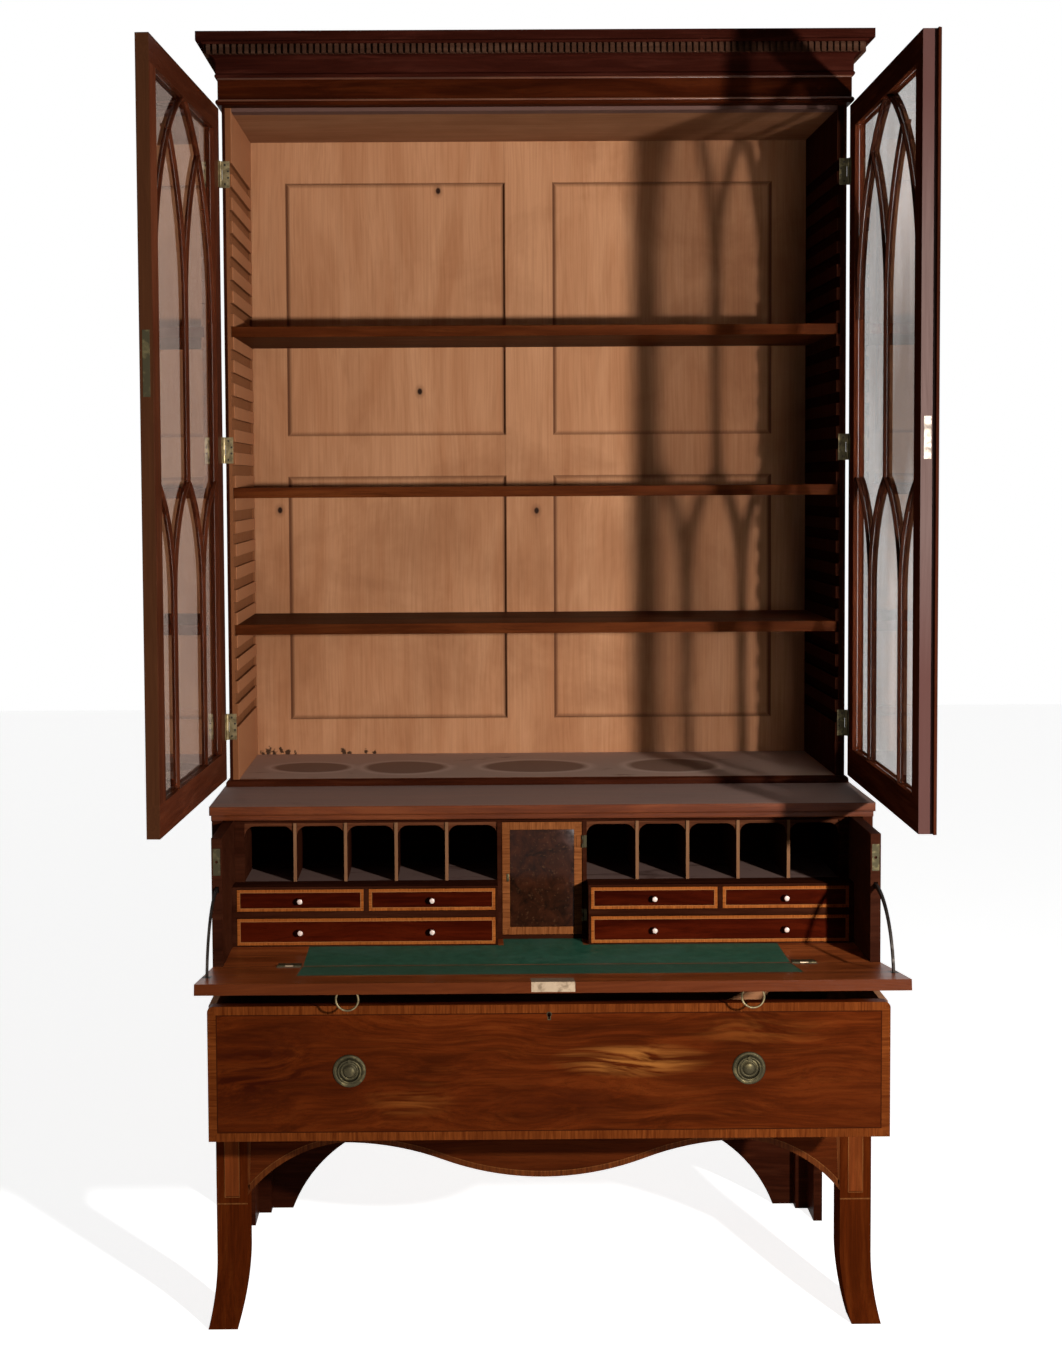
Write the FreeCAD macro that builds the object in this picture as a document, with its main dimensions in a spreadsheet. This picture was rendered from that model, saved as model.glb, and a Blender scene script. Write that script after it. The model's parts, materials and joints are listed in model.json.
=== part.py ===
import FreeCAD, Part
import math
import os
import re

import Sketcher
from FreeCAD import Placement, Rotation, Vector

# Secretaire bookcase: a glazed bookcase on a base with a fall-front secretaire drawer and one long drawer.
# X runs along the front, -Y is the front, +Z is up. Sizes are in millimetres.
sizes = {
    # where the front face of the base stands
    "front_y": -86,
    # base case, from the floor up
    "base_width": 1200,
    "base_depth": 560,
    "base_side": 18,
    "leg_height": 407,
    "floor_board": 18,
    "long_cell": 236,
    "divider_thick": 26,
    "secretaire_cell": 248,
    "top_bed": 10,
    "top_board": 16,
    "top_overhang": 4,
    "bed_overhang": 1,
    "base_back": 15,
    # legs, apron and feet
    "leg_width": 57,
    "leg_depth": 56,
    "leg_splay": 16,
    "leg_bend": 130,
    "foot_width": 54,
    "foot_depth": 49,
    "apron_thick": 18,
    "apron_setback": 2,
    "apron_drop": 134,
    "crown_drop": 67,
    "spandrel_reach": 173,
    "spandrel_drop": 164,
    "spandrel_sag": 15,
    "skirt_drop": 56,
    "skirt_curve_length": 90,
    "rear_foot_width": 88,
    "rear_foot_reach": 229,
    "rear_foot_arch": 158,
    "rear_foot_sag": 14,
    "rear_side_length": 110,
    "bracket_thick": 18,
    "corner_block": 26,
    # bookcase carcase
    "book_inset": 6,
    "book_front": 220,
    "book_back_inset": 4,
    "book_side": 18,
    "book_board": 14,
    "book_height": 1345,
    "ceiling_drop": 56,
    "ceiling_board": 18,
    "dust_board": 12,
    "frieze_height": 49,
    "frieze_proud": 4,
    "frieze_bead": 11,
    "bead_proud": 4,
    "cornice_height": 81,
    "cornice_inner": 22,
    "cornice_fillet": 3,
    "cornice_bead": 10,
    "cove_rise": 30,
    "cornice_cove": 12,
    "dentil_rise": 42,
    "dentil_height": 18,
    "dentil_proud": 8,
    "dentil_pitch": 12,
    "dentil_width": 7.2,
    "dentil_strip": 1.5,
    "corona_rise": 64,
    "cornice_reach": 36,
    "waist_height": 13,
    "waist_proud": 7,
    # bookcase back
    "back_frame_thick": 18,
    "back_panel_thick": 8,
    "back_inset": 2,
    "back_stile": 73,
    "back_muntin": 102,
    "back_bottom_rail": 76,
    "back_top_rail": 86,
    "back_middle_rail": 88,
    "back_middle_lift": 596,
    # adjustable shelves and their grooves
    "shelf_thick": 20,
    "shelf_play": 0.3,
    "groove_depth": 6,
    "groove_pitch": 44,
    "groove_lift": 116,
    "groove_count": 25,
    "shelf_setback": 12,
    "shelf_back_gap": 6,
    "lower_shelf_count": 4,
    "middle_shelf_count": 10,
    "upper_shelf_count": 17,
    # glazed doors
    "door_thick": 22,
    "door_gap": 3,
    "door_lift": 15,
    "door_head_gap": 2,
    "meeting_gap": 3,
    "stile_width": 48,
    "top_rail": 45,
    "bottom_rail": 55,
    "glass_thick": 2.5,
    "glass_play": 0.3,
    "bar_width": 13,
    "bar_depth": 9,
    "web_width": 4,
    "web_depth": 8,
    "bar_setback": 2,
    "spring_drop": 363,
    "arch_rise": 371,
    "lancet_lift": 574,
    "lancet_rise": 200,
    "left_door_angle": 93,
    "right_door_angle": 88.9,
    "meeting_bead_width": 16,
    "meeting_bead_proud": 7,
    "bead_play": 0.5,
    # door hinges
    "hinge_out": 3.6,
    "hinge_height": 50,
    "hinge_leaf": 1.1,
    "leaf_width": 14,
    "knuckle_radius": 3.2,
    "pin_radius": 1.5,
    "pin_play": 0.05,
    "knuckle_play": 0.4,
    "top_hinge_drop": 123,
    "middle_hinge_drop": 6.5,
    "bottom_hinge_lift": 101,
    # secretaire drawer
    "drawer_gap": 1,
    "runner_gap": 2,
    "secretaire_out": 148,
    "secretaire_short": 140,
    "secretaire_side": 18,
    "secretaire_board": 18,
    "secretaire_head": 3,
    "secretaire_back": 12,
    "leather_margin": 139,
    "leather_thick": 1.2,
    "leather_border": 2,
    "catch_width": 13,
    "catch_height": 47,
    "catch_drop": 65,
    "catch_thick": 1.5,
    "catch_hole": 2.5,
    # fall front
    "fall_gap": 0.5,
    "fall_thick": 18,
    "fall_angle": 82,
    "leather_reach": 125,
    "hinge_beside": 24,
    "fall_hinge_width": 42,
    "fall_leaf": 1.5,
    "fall_leaf_length": 22,
    "fall_knuckle": 2.4,
    "fall_pin": 1.1,
    "fall_lock_width": 71,
    "fall_lock_length": 48,
    "fall_lock_thick": 1.5,
    "fall_lock_edge": 16,
    # quadrant stays
    "stay_radius": 135,
    "stay_width": 8,
    "stay_thick": 4,
    "stay_play": 1.5,
    "stay_foot": 30,
    "stay_foot_thick": 2,
    "stay_foot_side": 5,
    "stay_start_angle": 90,
    "stay_end_angle": 184,
    "slot_start_angle": 80,
    "slot_end_angle": 187,
    # fitted interior
    "unit_setback": 134,
    "pigeon_setback": 45,
    "unit_base": 2,
    "wide_cell": 50,
    "rail_thick": 12,
    "small_cell": 41,
    "pigeon_base": 4,
    "unit_top_board": 7,
    "unit_head": 1,
    "unit_post": 8,
    "recess_wall": 4,
    "lower_end": 8,
    "upper_end": 18,
    "small_divider": 8,
    "pigeon_count": 5,
    "pigeon_divider": 6,
    "valance_height": 19,
    "valance_rise": 13,
    "valance_thick": 6,
    "valance_setback": 3,
    # prospect door
    "prospect_half": 74,
    "prospect_step": 7,
    "prospect_thick": 14,
    "prospect_play": 1,
    "prospect_band": 14,
    "prospect_recess": 3,
    "prospect_fill": 2,
    "prospect_pin": 1,
    "prospect_knuckle": 2,
    "prospect_hinge_height": 22,
    "prospect_hinge_inset": 26,
    "prospect_leaf": 1,
    "prospect_leaf_width": 11,
    # inner drawers
    "inner_drawer_gap": 0.7,
    "inner_front": 10,
    "inner_side": 6,
    "inner_bottom": 4,
    "inner_space": 34,
    "knob_radius": 6.5,
    "knob_neck": 3,
    "knob_reach": 13,
    # long drawer
    "long_out": 225,
    "long_foot_gap": 1,
    "long_head_gap": 2,
    "long_short": 60,
    "long_front": 20,
    "long_side": 12,
    "long_side_drop": 4,
    "long_bottom": 8,
    # ring pulls
    "ring_inset": 260,
    "ring_radius": 18.75,
    "ring_wire": 1.75,
    "ring_stand": 4.5,
    "ring_play": 0.4,
    "lug_radius": 3,
    "plate_radius": 27.5,
    "plate_thick": 2.4,
    "plate_rim": 3.5,
    "plate_rim_height": 1.2,
    "plate_boss": 9,
    "plate_boss_height": 4,
    "fall_ring_height": 99,
    "long_ring_lift": 4.5,
}

# Places that follow from those sizes
follows = {
    "base_floor": "leg_height + floor_board",
    "divider_under": "base_floor + long_cell",
    "divider_top": "divider_under + divider_thick",
    "top_under": "divider_top + secretaire_cell",
    "base_high": "top_under + top_bed + top_board",
    "base_half": "base_width / 2",
    "base_inner": "base_half - base_side",
    "book_half": "base_half - book_inset",
    "book_inner": "book_half - book_side",
    "book_back": "base_depth - book_back_inset",
    "book_floor": "base_high + book_board",
    "cornice_low": "base_high + book_height",
    "cornice_high": "cornice_low + cornice_height",
    "frieze_low": "cornice_low - frieze_height",
    "frieze_front": "book_front - door_gap - door_thick",
    "ceiling": "cornice_low - ceiling_drop",
    "groove_first": "base_high + groove_lift",
    "back_middle_low": "base_high + back_middle_lift",
    "door_low": "base_high + door_lift",
    "door_high": "frieze_low - door_head_gap",
    "door_width": "book_half - meeting_gap / 2",
    "door_face": "door_gap / 2 + door_thick",
    "window_low": "door_low + bottom_rail",
    "window_high": "door_high - top_rail",
    "window_half": "door_width / 2 - stile_width",
    "top_hinge": "door_high - top_hinge_drop",
    "middle_hinge": "(door_low + door_high) / 2 - middle_hinge_drop",
    "bottom_hinge": "door_low + bottom_hinge_lift",
    "secretaire_low": "divider_top + runner_gap",
    "secretaire_floor": "secretaire_low + secretaire_board",
    "secretaire_top": "top_under - secretaire_head",
    "secretaire_depth": "base_depth - secretaire_short",
    "secretaire_half": "base_inner - drawer_gap",
    "secretaire_inner": "secretaire_half - secretaire_side",
    "leather_half": "secretaire_inner - leather_margin",
    "catch_low": "secretaire_top - catch_drop",
    "fall_height": "secretaire_top - secretaire_floor",
    "fall_half": "secretaire_half - fall_gap",
    "fall_hinge_x": "leather_half + hinge_beside",
    "stay_x": "secretaire_half - secretaire_side / 2",
    "pigeon_front": "unit_setback + pigeon_setback",
    "unit_low": "secretaire_floor + unit_base",
    "rail_low": "unit_low + wide_cell",
    "rail_high": "rail_low + rail_thick",
    "pigeon_board": "rail_high + small_cell",
    "pigeon_floor": "pigeon_board + pigeon_base",
    "unit_top": "secretaire_top - unit_head - unit_top_board",
    "unit_back": "secretaire_depth - secretaire_back",
    "inner_depth": "unit_back - unit_setback - inner_space",
    "prospect_low": "secretaire_floor + prospect_step",
    "post_outer": "prospect_half + unit_post",
    "bay_inner": "post_outer + recess_wall",
    "bay_outer": "secretaire_inner - lower_end",
    "pigeon_outer": "secretaire_inner - upper_end",
    "bay_pitch": "(pigeon_outer - post_outer) / pigeon_count",
    "small_split": "(bay_inner + bay_outer - small_divider) / 2",
    "small_far": "small_split + small_divider",
    "knob_inner_x": "(bay_inner + small_split) / 2",
    "knob_outer_x": "(small_far + bay_outer) / 2",
    "long_low": "base_floor + long_foot_gap",
    "long_high": "divider_under - long_head_gap",
    "long_side_high": "long_high - long_side_drop",
    "long_depth": "base_depth - long_short",
    "long_ring_height": "(long_low + long_high) / 2 + long_ring_lift",
    "ring_x": "base_half - ring_inset",
}

doc = FreeCAD.newDocument("secretaire_bookcase")
size_sheet = doc.addObject("Spreadsheet::Sheet", "size")
place_sheet = doc.addObject("Spreadsheet::Sheet", "place")


# An expression in which every alias carries the name of its sheet
def bound(text, places="place."):
    def named(found):
        word = found.group(0)
        if word in sizes:
            return "size." + word
        return places + word if word in follows else word

    return re.sub(r"[a-z][a-z0-9_]*", named, str(text))


def fill(sheet, cells):
    for row, (alias, text) in enumerate(cells.items(), start=1):
        sheet.set(f"A{row}", alias)
        sheet.set(f"B{row}", text)
        sheet.setAlias(f"B{row}", alias)


fill(size_sheet, {alias: str(number) for alias, number in sizes.items()})
fill(place_sheet, {alias: "=" + bound(text, "") for alias, text in follows.items()})
doc.recompute()


class Sizes:
    def __getattr__(self, alias):
        return float((size_sheet if alias in sizes else place_sheet).get(alias))


v = Sizes()
nodes = []


def tie(item, **expressions):
    for name, text in expressions.items():
        item.setExpression(name.replace("__", "."), bound(text))
    return item


# A board from its low and high faces along X, Y and Z
def board(x, y, z):
    item = doc.addObject("Part::Box", "board")
    lows = dict(zip("xyz", (x[0], y[0], z[0])))
    for name, span in (("Length", x), ("Width", y), ("Height", z)):
        tie(item, **{name: f"({span[1]}) - ({span[0]})"})
    for axis, low in lows.items():
        tie(item, **{"Placement__Base__" + axis: low})
    return item


# A round bar from a start point along one axis
def rod(start, axis, radius, length):
    turns = {"x": Rotation(Vector(0, 1, 0), 90), "y": Rotation(Vector(1, 0, 0), -90), "z": Rotation()}
    item = doc.addObject("Part::Cylinder", "rod")
    item.Placement = Placement(Vector(), turns[axis])
    tie(item, Radius=radius, Height=length)
    for name, low in zip("xyz", start):
        tie(item, **{"Placement__Base__" + name: low})
    return item


# A shape that comes from profiles, read from the sheet
def shaped(shape):
    item = doc.addObject("Part::Feature", "shaped")
    item.Shape = shape
    return item


def together(pieces):
    if len(pieces) == 1:
        return pieces[0]
    item = doc.addObject("Part::MultiFuse", "joined")
    item.Shapes = pieces
    return item


def cut(base, tools):
    item = doc.addObject("Part::Cut", "cut")
    item.Base = base
    item.Tool = together(tools)
    return item


# One node of the part: its solids, moved as a group
def node(label, pieces, at=("0", "front_y", "0"), axis=None, angle=None):
    group = doc.addObject("Part::Compound", label)
    group.Label = label
    group.Links = pieces
    if axis is not None:
        group.Placement = Placement(Vector(), Rotation(axis, 1))
        tie(group, Placement__Rotation__Angle=angle)
    for name, place in zip("xyz", at):
        tie(group, **{"Placement__Base__" + name: place})
    nodes.append(group)
    return group


def wire_of(points):
    return Part.makePolygon(points + points[:1])


def line(start, end):
    return Part.LineSegment(start, end).toShape()


def arc(start, middle, end):
    return Part.Arc(start, middle, end).toShape()


def prism(edges, way):
    return Part.Face(Part.Wire(edges)).extrude(way)


# A moulding that runs down the left side, across the front and back along the right side
def moulding(edges, half, front, back):
    corners = [Vector(-half, back, 0), Vector(-half, front, 0),
               Vector(half, front, 0), Vector(half, back, 0)]
    shell = Part.BRepOffsetAPI.MakePipeShell(Part.makePolygon(corners))
    shell.setTransitionMode(1)
    shell.add(Part.Wire(edges))
    shell.build()
    shell.makeSolid()
    return shell.shape()


# A sheet-bound profile on one of a body's own planes, corner by corner
def outline(body, label, role, corners, offset="0"):
    sketch = body.newObject("Sketcher::SketchObject", label)
    sketch.AttachmentSupport = [([item for item in body.Origin.OriginFeatures if item.Role == role][0], "")]
    sketch.MapMode = "FlatFace"
    tie(sketch, AttachmentOffset__Base__z=offset)
    count = len(corners)
    turns = [Vector(math.cos(index), math.sin(index), 0) for index in range(count)]
    for index in range(count):
        sketch.addGeometry(Part.LineSegment(turns[index], turns[(index + 1) % count]))
    for index in range(count):
        sketch.addConstraint(Sketcher.Constraint("Coincident", index, 2, (index + 1) % count, 1))
    for index, corner in enumerate(corners):
        for kind, text in zip(("DistanceX", "DistanceY"), corner):
            number = sketch.addConstraint(Sketcher.Constraint(kind, -1, 1, index, 1, 1.0))
            tie(sketch, **{f"Constraints[{number}]": text})
    return sketch


def rectangle(x, y):
    return [(x[0], y[0]), (x[1], y[0]), (x[1], y[1]), (x[0], y[1])]


# A turned piece whose axis points out of the front: its profile runs from the axis outwards
def turned(label, corners, at):
    body = doc.addObject("PartDesign::Body", label)
    sketch = outline(body, "profile", "XZ_Plane", corners)
    spin = body.newObject("PartDesign::Revolution", "turning")
    spin.Profile = sketch
    spin.ReferenceAxis = (sketch, ["V_Axis"])
    spin.Angle = 360
    body.Tip = spin
    body.Placement = Placement(Vector(), Rotation(Vector(1, 0, 0), 90))
    for name, place in zip("xyz", at):
        tie(body, **{"Placement__Base__" + name: place})
    return body


# Base case
def base_case():
    sides = dict(left=("-base_half", "-base_inner"), right=("base_inner", "base_half"))
    for side, x in sides.items():
        node(f"base_{side}_side", [board(x, ("0", "base_depth"), ("leg_height", "top_under"))])
    inner = ("-base_inner", "base_inner")
    deep = ("0", "base_depth - base_back")
    node("base_bottom", [board(inner, deep, ("leg_height", "base_floor"))])
    node("drawer_divider", [board(inner, deep, ("divider_under", "divider_top"))])
    node("base_back", [board(inner, ("base_depth - base_back", "base_depth"), ("leg_height", "top_under"))])
    bed = board(("-base_half - bed_overhang", "base_half + bed_overhang"), ("-bed_overhang", "base_depth"),
                ("top_under", "top_under + top_bed"))
    slab = board(("-base_half - top_overhang", "base_half + top_overhang"), ("-top_overhang", "base_depth"),
                 ("top_under + top_bed", "base_high"))
    node("base_top", [bed, slab])


# Splayed front legs: a straight block whose foot sweeps out to the side and the front
def leg_section(height, width, depth, out, side):
    outer = side * (v.base_half + out)
    inner = outer - side * width
    return wire_of([Vector(outer, -out, height), Vector(inner, -out, height),
                    Vector(inner, depth - out, height), Vector(outer, depth - out, height)])


def front_legs():
    for name, side in (("left", -1), ("right", 1)):
        block = board(*leg_block(side))
        sections = []
        for share in (1, 0.65, 0.3, 0):
            width = v.foot_width + (v.leg_width - v.foot_width) * share
            depth = v.foot_depth + (v.leg_depth - v.foot_depth) * share
            out = v.leg_splay * (1 - share) ** 2
            sections.append(leg_section(v.leg_bend * share, width, depth, out, side))
        node(f"front_{name}_leg", [together([block, shaped(Part.makeLoft(sections, True))])])


def leg_block(side):
    wide = mirrored(side, "base_half - leg_width", "base_half")
    return wide, ("0", "leg_depth"), ("leg_bend", "leg_height")


# The same span on the right side, or mirrored on the left
def mirrored(side, low, high):
    return (low, high) if side > 0 else (f"-({high})", f"-({low})")


# Front apron: a serpentine lower edge between two hollow spandrels
def apron():
    end = v.base_half - v.leg_width
    top = v.leg_height
    crown_x = end - v.spandrel_reach
    crown_z = top - v.crown_drop
    spandrel_low = top - v.spandrel_drop
    turn = crown_x / 2
    middle = (crown_z + top - v.apron_drop) / 2
    rise = middle - top + v.apron_drop
    radius = (turn ** 2 + rise ** 2) / (2 * rise)
    share = turn / 2
    fall = radius - math.sqrt(radius ** 2 - share ** 2)

    def at(x, z):
        return Vector(x, v.apron_setback, z)

    edges = [line(at(end, spandrel_low), at(end, top)), line(at(end, top), at(-end, top)),
             line(at(-end, top), at(-end, spandrel_low))]
    for side in (-1, 1):
        foot = at(side * end, spandrel_low)
        crown = at(side * crown_x, crown_z)
        hollow = (foot + crown) * 0.5 + Vector(side * v.spandrel_sag, 0, v.spandrel_sag)
        edges.append(arc(foot, hollow, crown))
        swing = at(side * turn, middle)
        edges.append(arc(crown, at(side * (crown_x - share), crown_z - fall), swing))
    edges.append(arc(at(-turn, middle), at(0, top - v.apron_drop), at(turn, middle)))
    node("front_apron", [shaped(prism(Part.__sortEdges__(edges), Vector(0, v.apron_thick, 0)))])


# Side skirts between the front legs and the rear feet, with a hollow curve at each end
def side_skirts():
    front = v.leg_depth
    back = v.base_depth - v.rear_side_length
    top = v.leg_height
    skirt_low = top - v.skirt_drop
    pieces = []
    for side in (-1, 1):
        x = -v.base_half if side < 0 else v.base_half - v.bracket_thick

        def at(y, z):
            return Vector(x, y, z)

        low = skirt_low - v.skirt_curve_length
        slope = v.skirt_curve_length * (1 - math.sqrt(0.5))
        curve = v.skirt_curve_length
        edges = [line(at(front, top), at(front, low)),
                 arc(at(front, low), at(front + slope, skirt_low - slope), at(front + curve, skirt_low)),
                 line(at(front + curve, skirt_low), at(back - curve, skirt_low)),
                 arc(at(back - curve, skirt_low), at(back - slope, skirt_low - slope), at(back, low)),
                 line(at(back, low), at(back, top)), line(at(back, top), at(front, top))]
        pieces.append(shaped(prism(edges, Vector(v.bracket_thick, 0, 0))))
    node("side_skirts", pieces)


# Rear bracket feet: a shaped back bracket, a side bracket and a corner block on each side
def rear_feet():
    top = v.leg_height
    back = v.base_depth - v.bracket_thick
    pieces = []
    for side in (-1, 1):
        outer = side * v.base_half

        def at(x, z):
            return Vector(outer - side * x, back, z)

        foot = at(v.rear_foot_width, 0)
        crown = at(v.rear_foot_reach, v.rear_foot_arch)
        hollow = (foot + crown) * 0.5 + Vector(side * v.rear_foot_sag, 0, v.rear_foot_sag)
        edges = [line(at(0, 0), foot), arc(foot, hollow, crown),
                 line(crown, at(v.rear_foot_reach, top)), line(at(v.rear_foot_reach, top), at(0, top)),
                 line(at(0, top), at(0, 0))]
        pieces.append(shaped(prism(edges, Vector(0, v.bracket_thick, 0))))
        inner = "base_half - bracket_thick"
        behind = "base_depth - bracket_thick"
        tall = ("0", "leg_height")
        along = ("base_depth - rear_side_length", behind)
        pieces.append(board(mirrored(side, inner, "base_half"), along, tall))
        block_x = mirrored(side, f"{inner} - corner_block", inner)
        pieces.append(board(block_x, (f"{behind} - corner_block", behind), tall))
    node("rear_feet", pieces)


# Bookcase side: a board with a ladder of level grooves for the shelves
def bookcase_side(name, side):
    body = doc.addObject("PartDesign::Body", f"{name}_board")
    face = rectangle(mirrored(side, "book_inner", "book_half"), ("book_front", "book_back"))
    plank = body.newObject("PartDesign::Pad", "plank")
    plank.Profile = outline(body, "plan", "XY_Plane", face, "base_high")
    tie(plank, Length="book_height")
    doc.recompute()
    groove_end = "book_back - back_inset - back_frame_thick"
    slot = rectangle(mirrored(side, "book_inner", "book_inner + groove_depth"), ("book_front", groove_end))
    groove = body.newObject("PartDesign::Pocket", "first_groove")
    groove.Profile = outline(body, "groove_plan", "XY_Plane", slot, "groove_first")
    groove.Reversed = True
    tie(groove, Length="shelf_thick + 2 * shelf_play")
    doc.recompute()
    ladder = body.newObject("PartDesign::LinearPattern", "groove_ladder")
    ladder.Originals = [groove]
    ladder.Direction = (groove.Profile[0], ["N_Axis"])
    tie(ladder, Length="groove_pitch * (groove_count - 1)", Occurrences="groove_count")
    body.Tip = ladder
    node(name, [body])


def bookcase():
    bookcase_side("bookcase_left_side", -1)
    bookcase_side("bookcase_right_side", 1)
    inner = ("-book_inner", "book_inner")
    deep = ("book_front", "book_back")
    node("bookcase_bottom", [board(inner, deep, ("base_high", "book_floor"))])
    ceiling = board(inner, deep, ("ceiling", "ceiling + ceiling_board"))
    dust_half = "book_half + frieze_proud - cornice_inner"
    dust = board((f"-({dust_half})", dust_half), ("frieze_front + cornice_inner", "book_back"),
                 ("cornice_low", "cornice_low + dust_board"))
    node("bookcase_top", [ceiling, dust])


# Panelled back: stiles, a centre muntin and three rails around four flat panels
def bookcase_panelling():
    back = "book_back - back_inset"
    frame_y = (f"{back} - back_frame_thick", back)
    tall = ("book_floor", "ceiling")
    stile = "book_inner - back_stile"
    pieces = [board(mirrored(side, stile, "book_inner"), frame_y, tall) for side in (-1, 1)]
    pieces.append(board(("-back_muntin / 2", "back_muntin / 2"), frame_y, tall))
    rails = (("book_floor", "book_floor + back_bottom_rail"),
             ("back_middle_low", "back_middle_low + back_middle_rail"),
             ("ceiling - back_top_rail", "ceiling"))
    bays = [mirrored(side, "back_muntin / 2", stile) for side in (-1, 1)]
    for bay in bays:
        for rail in rails:
            pieces.append(board(bay, frame_y, rail))
    node("back_frame", pieces)
    middle = f"{back} - back_frame_thick / 2"
    panel_y = (f"{middle} - back_panel_thick / 2", f"{middle} + back_panel_thick / 2")
    spans = ((rails[0][1], rails[1][0]), (rails[1][1], rails[2][0]))
    node("back_panels", [board(bay, panel_y, span) for bay in bays for span in spans])


def shelves():
    reach = "book_inner + groove_depth - shelf_play"
    deep = ("book_front + shelf_setback", "book_back - back_inset - back_frame_thick - shelf_back_gap")
    for name in ("lower", "middle", "upper"):
        low = f"groove_first + groove_pitch * {name}_shelf_count + shelf_play"
        node(f"{name}_shelf", [board((f"-({reach})", reach), deep, (low, f"{low} + shelf_thick"))])


# Cornice, dentil course, frieze and waist moulding run round the front and both sides
def crown_mouldings():
    half = v.book_half + v.frieze_proud
    front = v.frieze_front
    back = v.book_back

    def at(out, rise):
        return Vector(-half - out, back, v.cornice_low + rise)

    bead = v.cornice_bead / 2
    slant = math.sqrt(0.5)
    fillet = v.cornice_fillet
    cove_out = fillet + v.cornice_cove
    cove_bend = at(cove_out - v.cornice_cove * slant, v.cove_rise + v.cornice_cove * slant)
    round_low = v.dentil_rise + v.dentil_height
    ovolo = v.corona_rise - round_low
    lip = cove_out + v.dentil_proud
    reach = v.cornice_reach
    inner = -v.cornice_inner
    edges = [line(at(inner, 0), at(0, 0)),
             arc(at(0, 0), at(bead, bead), at(0, 2 * bead)),
             line(at(0, 2 * bead), at(fillet, 2 * bead)),
             line(at(fillet, 2 * bead), at(fillet, v.cove_rise)),
             arc(at(fillet, v.cove_rise), cove_bend, at(cove_out, v.cove_rise + v.cornice_cove)),
             line(at(cove_out, v.cove_rise + v.cornice_cove), at(cove_out, round_low)),
             line(at(cove_out, round_low), at(lip, round_low)),
             arc(at(lip, round_low), at(lip + ovolo * slant, round_low + ovolo * (1 - slant)),
                 at(lip + ovolo, v.corona_rise)),
             line(at(lip + ovolo, v.corona_rise), at(reach, v.corona_rise)),
             line(at(reach, v.corona_rise), at(reach, v.cornice_height)),
             line(at(reach, v.cornice_height), at(inner, v.cornice_height)),
             line(at(inner, v.cornice_height), at(inner, 0))]
    node("cornice", [shaped(moulding(edges, half, front, back))])
    dentils(half + cove_out, front - cove_out, back)
    frieze(half, front, back)
    waist(back)


# One comb of dentils from low to high along the run, standing out by dentil_proud
def comb(low, high):
    count = int((high - low - v.dentil_width) / v.dentil_pitch) + 1
    start = (low + high - (count - 1) * v.dentil_pitch) / 2
    strip = v.dentil_strip
    points = [Vector(low, 0, 0), Vector(high, 0, 0), Vector(high, -strip, 0)]
    for index in reversed(range(count)):
        near = start + index * v.dentil_pitch
        for x, y in ((v.dentil_width / 2, strip), (v.dentil_width / 2, v.dentil_proud),
                     (-v.dentil_width / 2, v.dentil_proud), (-v.dentil_width / 2, strip)):
            points.append(Vector(near + x, -y, 0))
    points.append(Vector(low, -strip, 0))
    return Part.Face(wire_of(points)).extrude(Vector(0, 0, v.dentil_height))


def dentils(half, front, back):
    run = comb(-half - v.dentil_proud, half + v.dentil_proud)
    run.translate(Vector(0, front, v.cornice_low + v.dentil_rise))
    pieces = [shaped(run)]
    for side in (-1, 1):
        row = comb(-(back - front) / 2, (back - front) / 2)
        row.rotate(Vector(), Vector(0, 0, 1), 90 * side)
        row.translate(Vector(side * half, (front + back) / 2, v.cornice_low + v.dentil_rise))
        pieces.append(shaped(row))
    node("dentil_course", pieces)


def frieze(half, front, back):
    def at(out, z):
        return Vector(-half - out, back, z)

    bead_high = v.frieze_low + v.frieze_bead
    edges = [line(at(-v.frieze_proud, v.frieze_low), at(0, v.frieze_low)),
             arc(at(0, v.frieze_low), at(v.bead_proud, v.frieze_low + v.frieze_bead / 2), at(0, bead_high)),
             line(at(0, bead_high), at(0, v.cornice_low)),
             line(at(0, v.cornice_low), at(-v.frieze_proud, v.cornice_low)),
             line(at(-v.frieze_proud, v.cornice_low), at(-v.frieze_proud, v.frieze_low))]
    rail = board(("-book_half", "book_half"), ("frieze_front + frieze_proud", "book_front"),
                 ("frieze_low", "cornice_low"))
    node("frieze", [shaped(moulding(edges, half, front, back)), rail])


def waist(back):
    half = v.book_half
    low = v.base_high
    fillet = v.waist_height - v.waist_proud

    def at(out, z):
        return Vector(-half - out, back, z)

    quarter = v.waist_proud * math.sqrt(0.5)
    start = at(v.waist_proud, low + fillet)
    end = at(0, low + v.waist_height)
    edges = [line(at(0, low), at(v.waist_proud, low)), line(at(v.waist_proud, low), start),
             arc(start, at(quarter, low + fillet + quarter), end), line(end, at(0, low))]
    node("waist_moulding", [shaped(moulding(edges, half, v.book_front, back))])


# Glazed doors, drawn closed about their hinge line and then opened
def door_places():
    line_y = "front_y + book_front - door_gap / 2"
    left = dict(at=("-book_half - hinge_out", line_y, "0"), axis=Vector(0, 0, -1), angle="left_door_angle")
    right = dict(at=("book_half + hinge_out", line_y, "0"), axis=Vector(0, 0, 1), angle="right_door_angle")
    return ("left", 1, left), ("right", -1, right)


# A curved glazing bar: a ring of the given width about a centre, kept between two heights
def curved_bar(middle_x, spring, radius, width, deep, side, high):
    outer = Part.makeCylinder(radius + width / 2, deep, Vector(middle_x, 0, spring), Vector(0, 1, 0))
    inner = Part.makeCylinder(radius - width / 2, deep, Vector(middle_x, 0, spring), Vector(0, 1, 0))
    corner = Vector(middle_x if side > 0 else middle_x - 2 * radius, 0, spring)
    quarter = Part.makeBox(2 * radius, deep, high - spring, corner)
    return outer.cut(inner).common(quarter)


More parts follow.
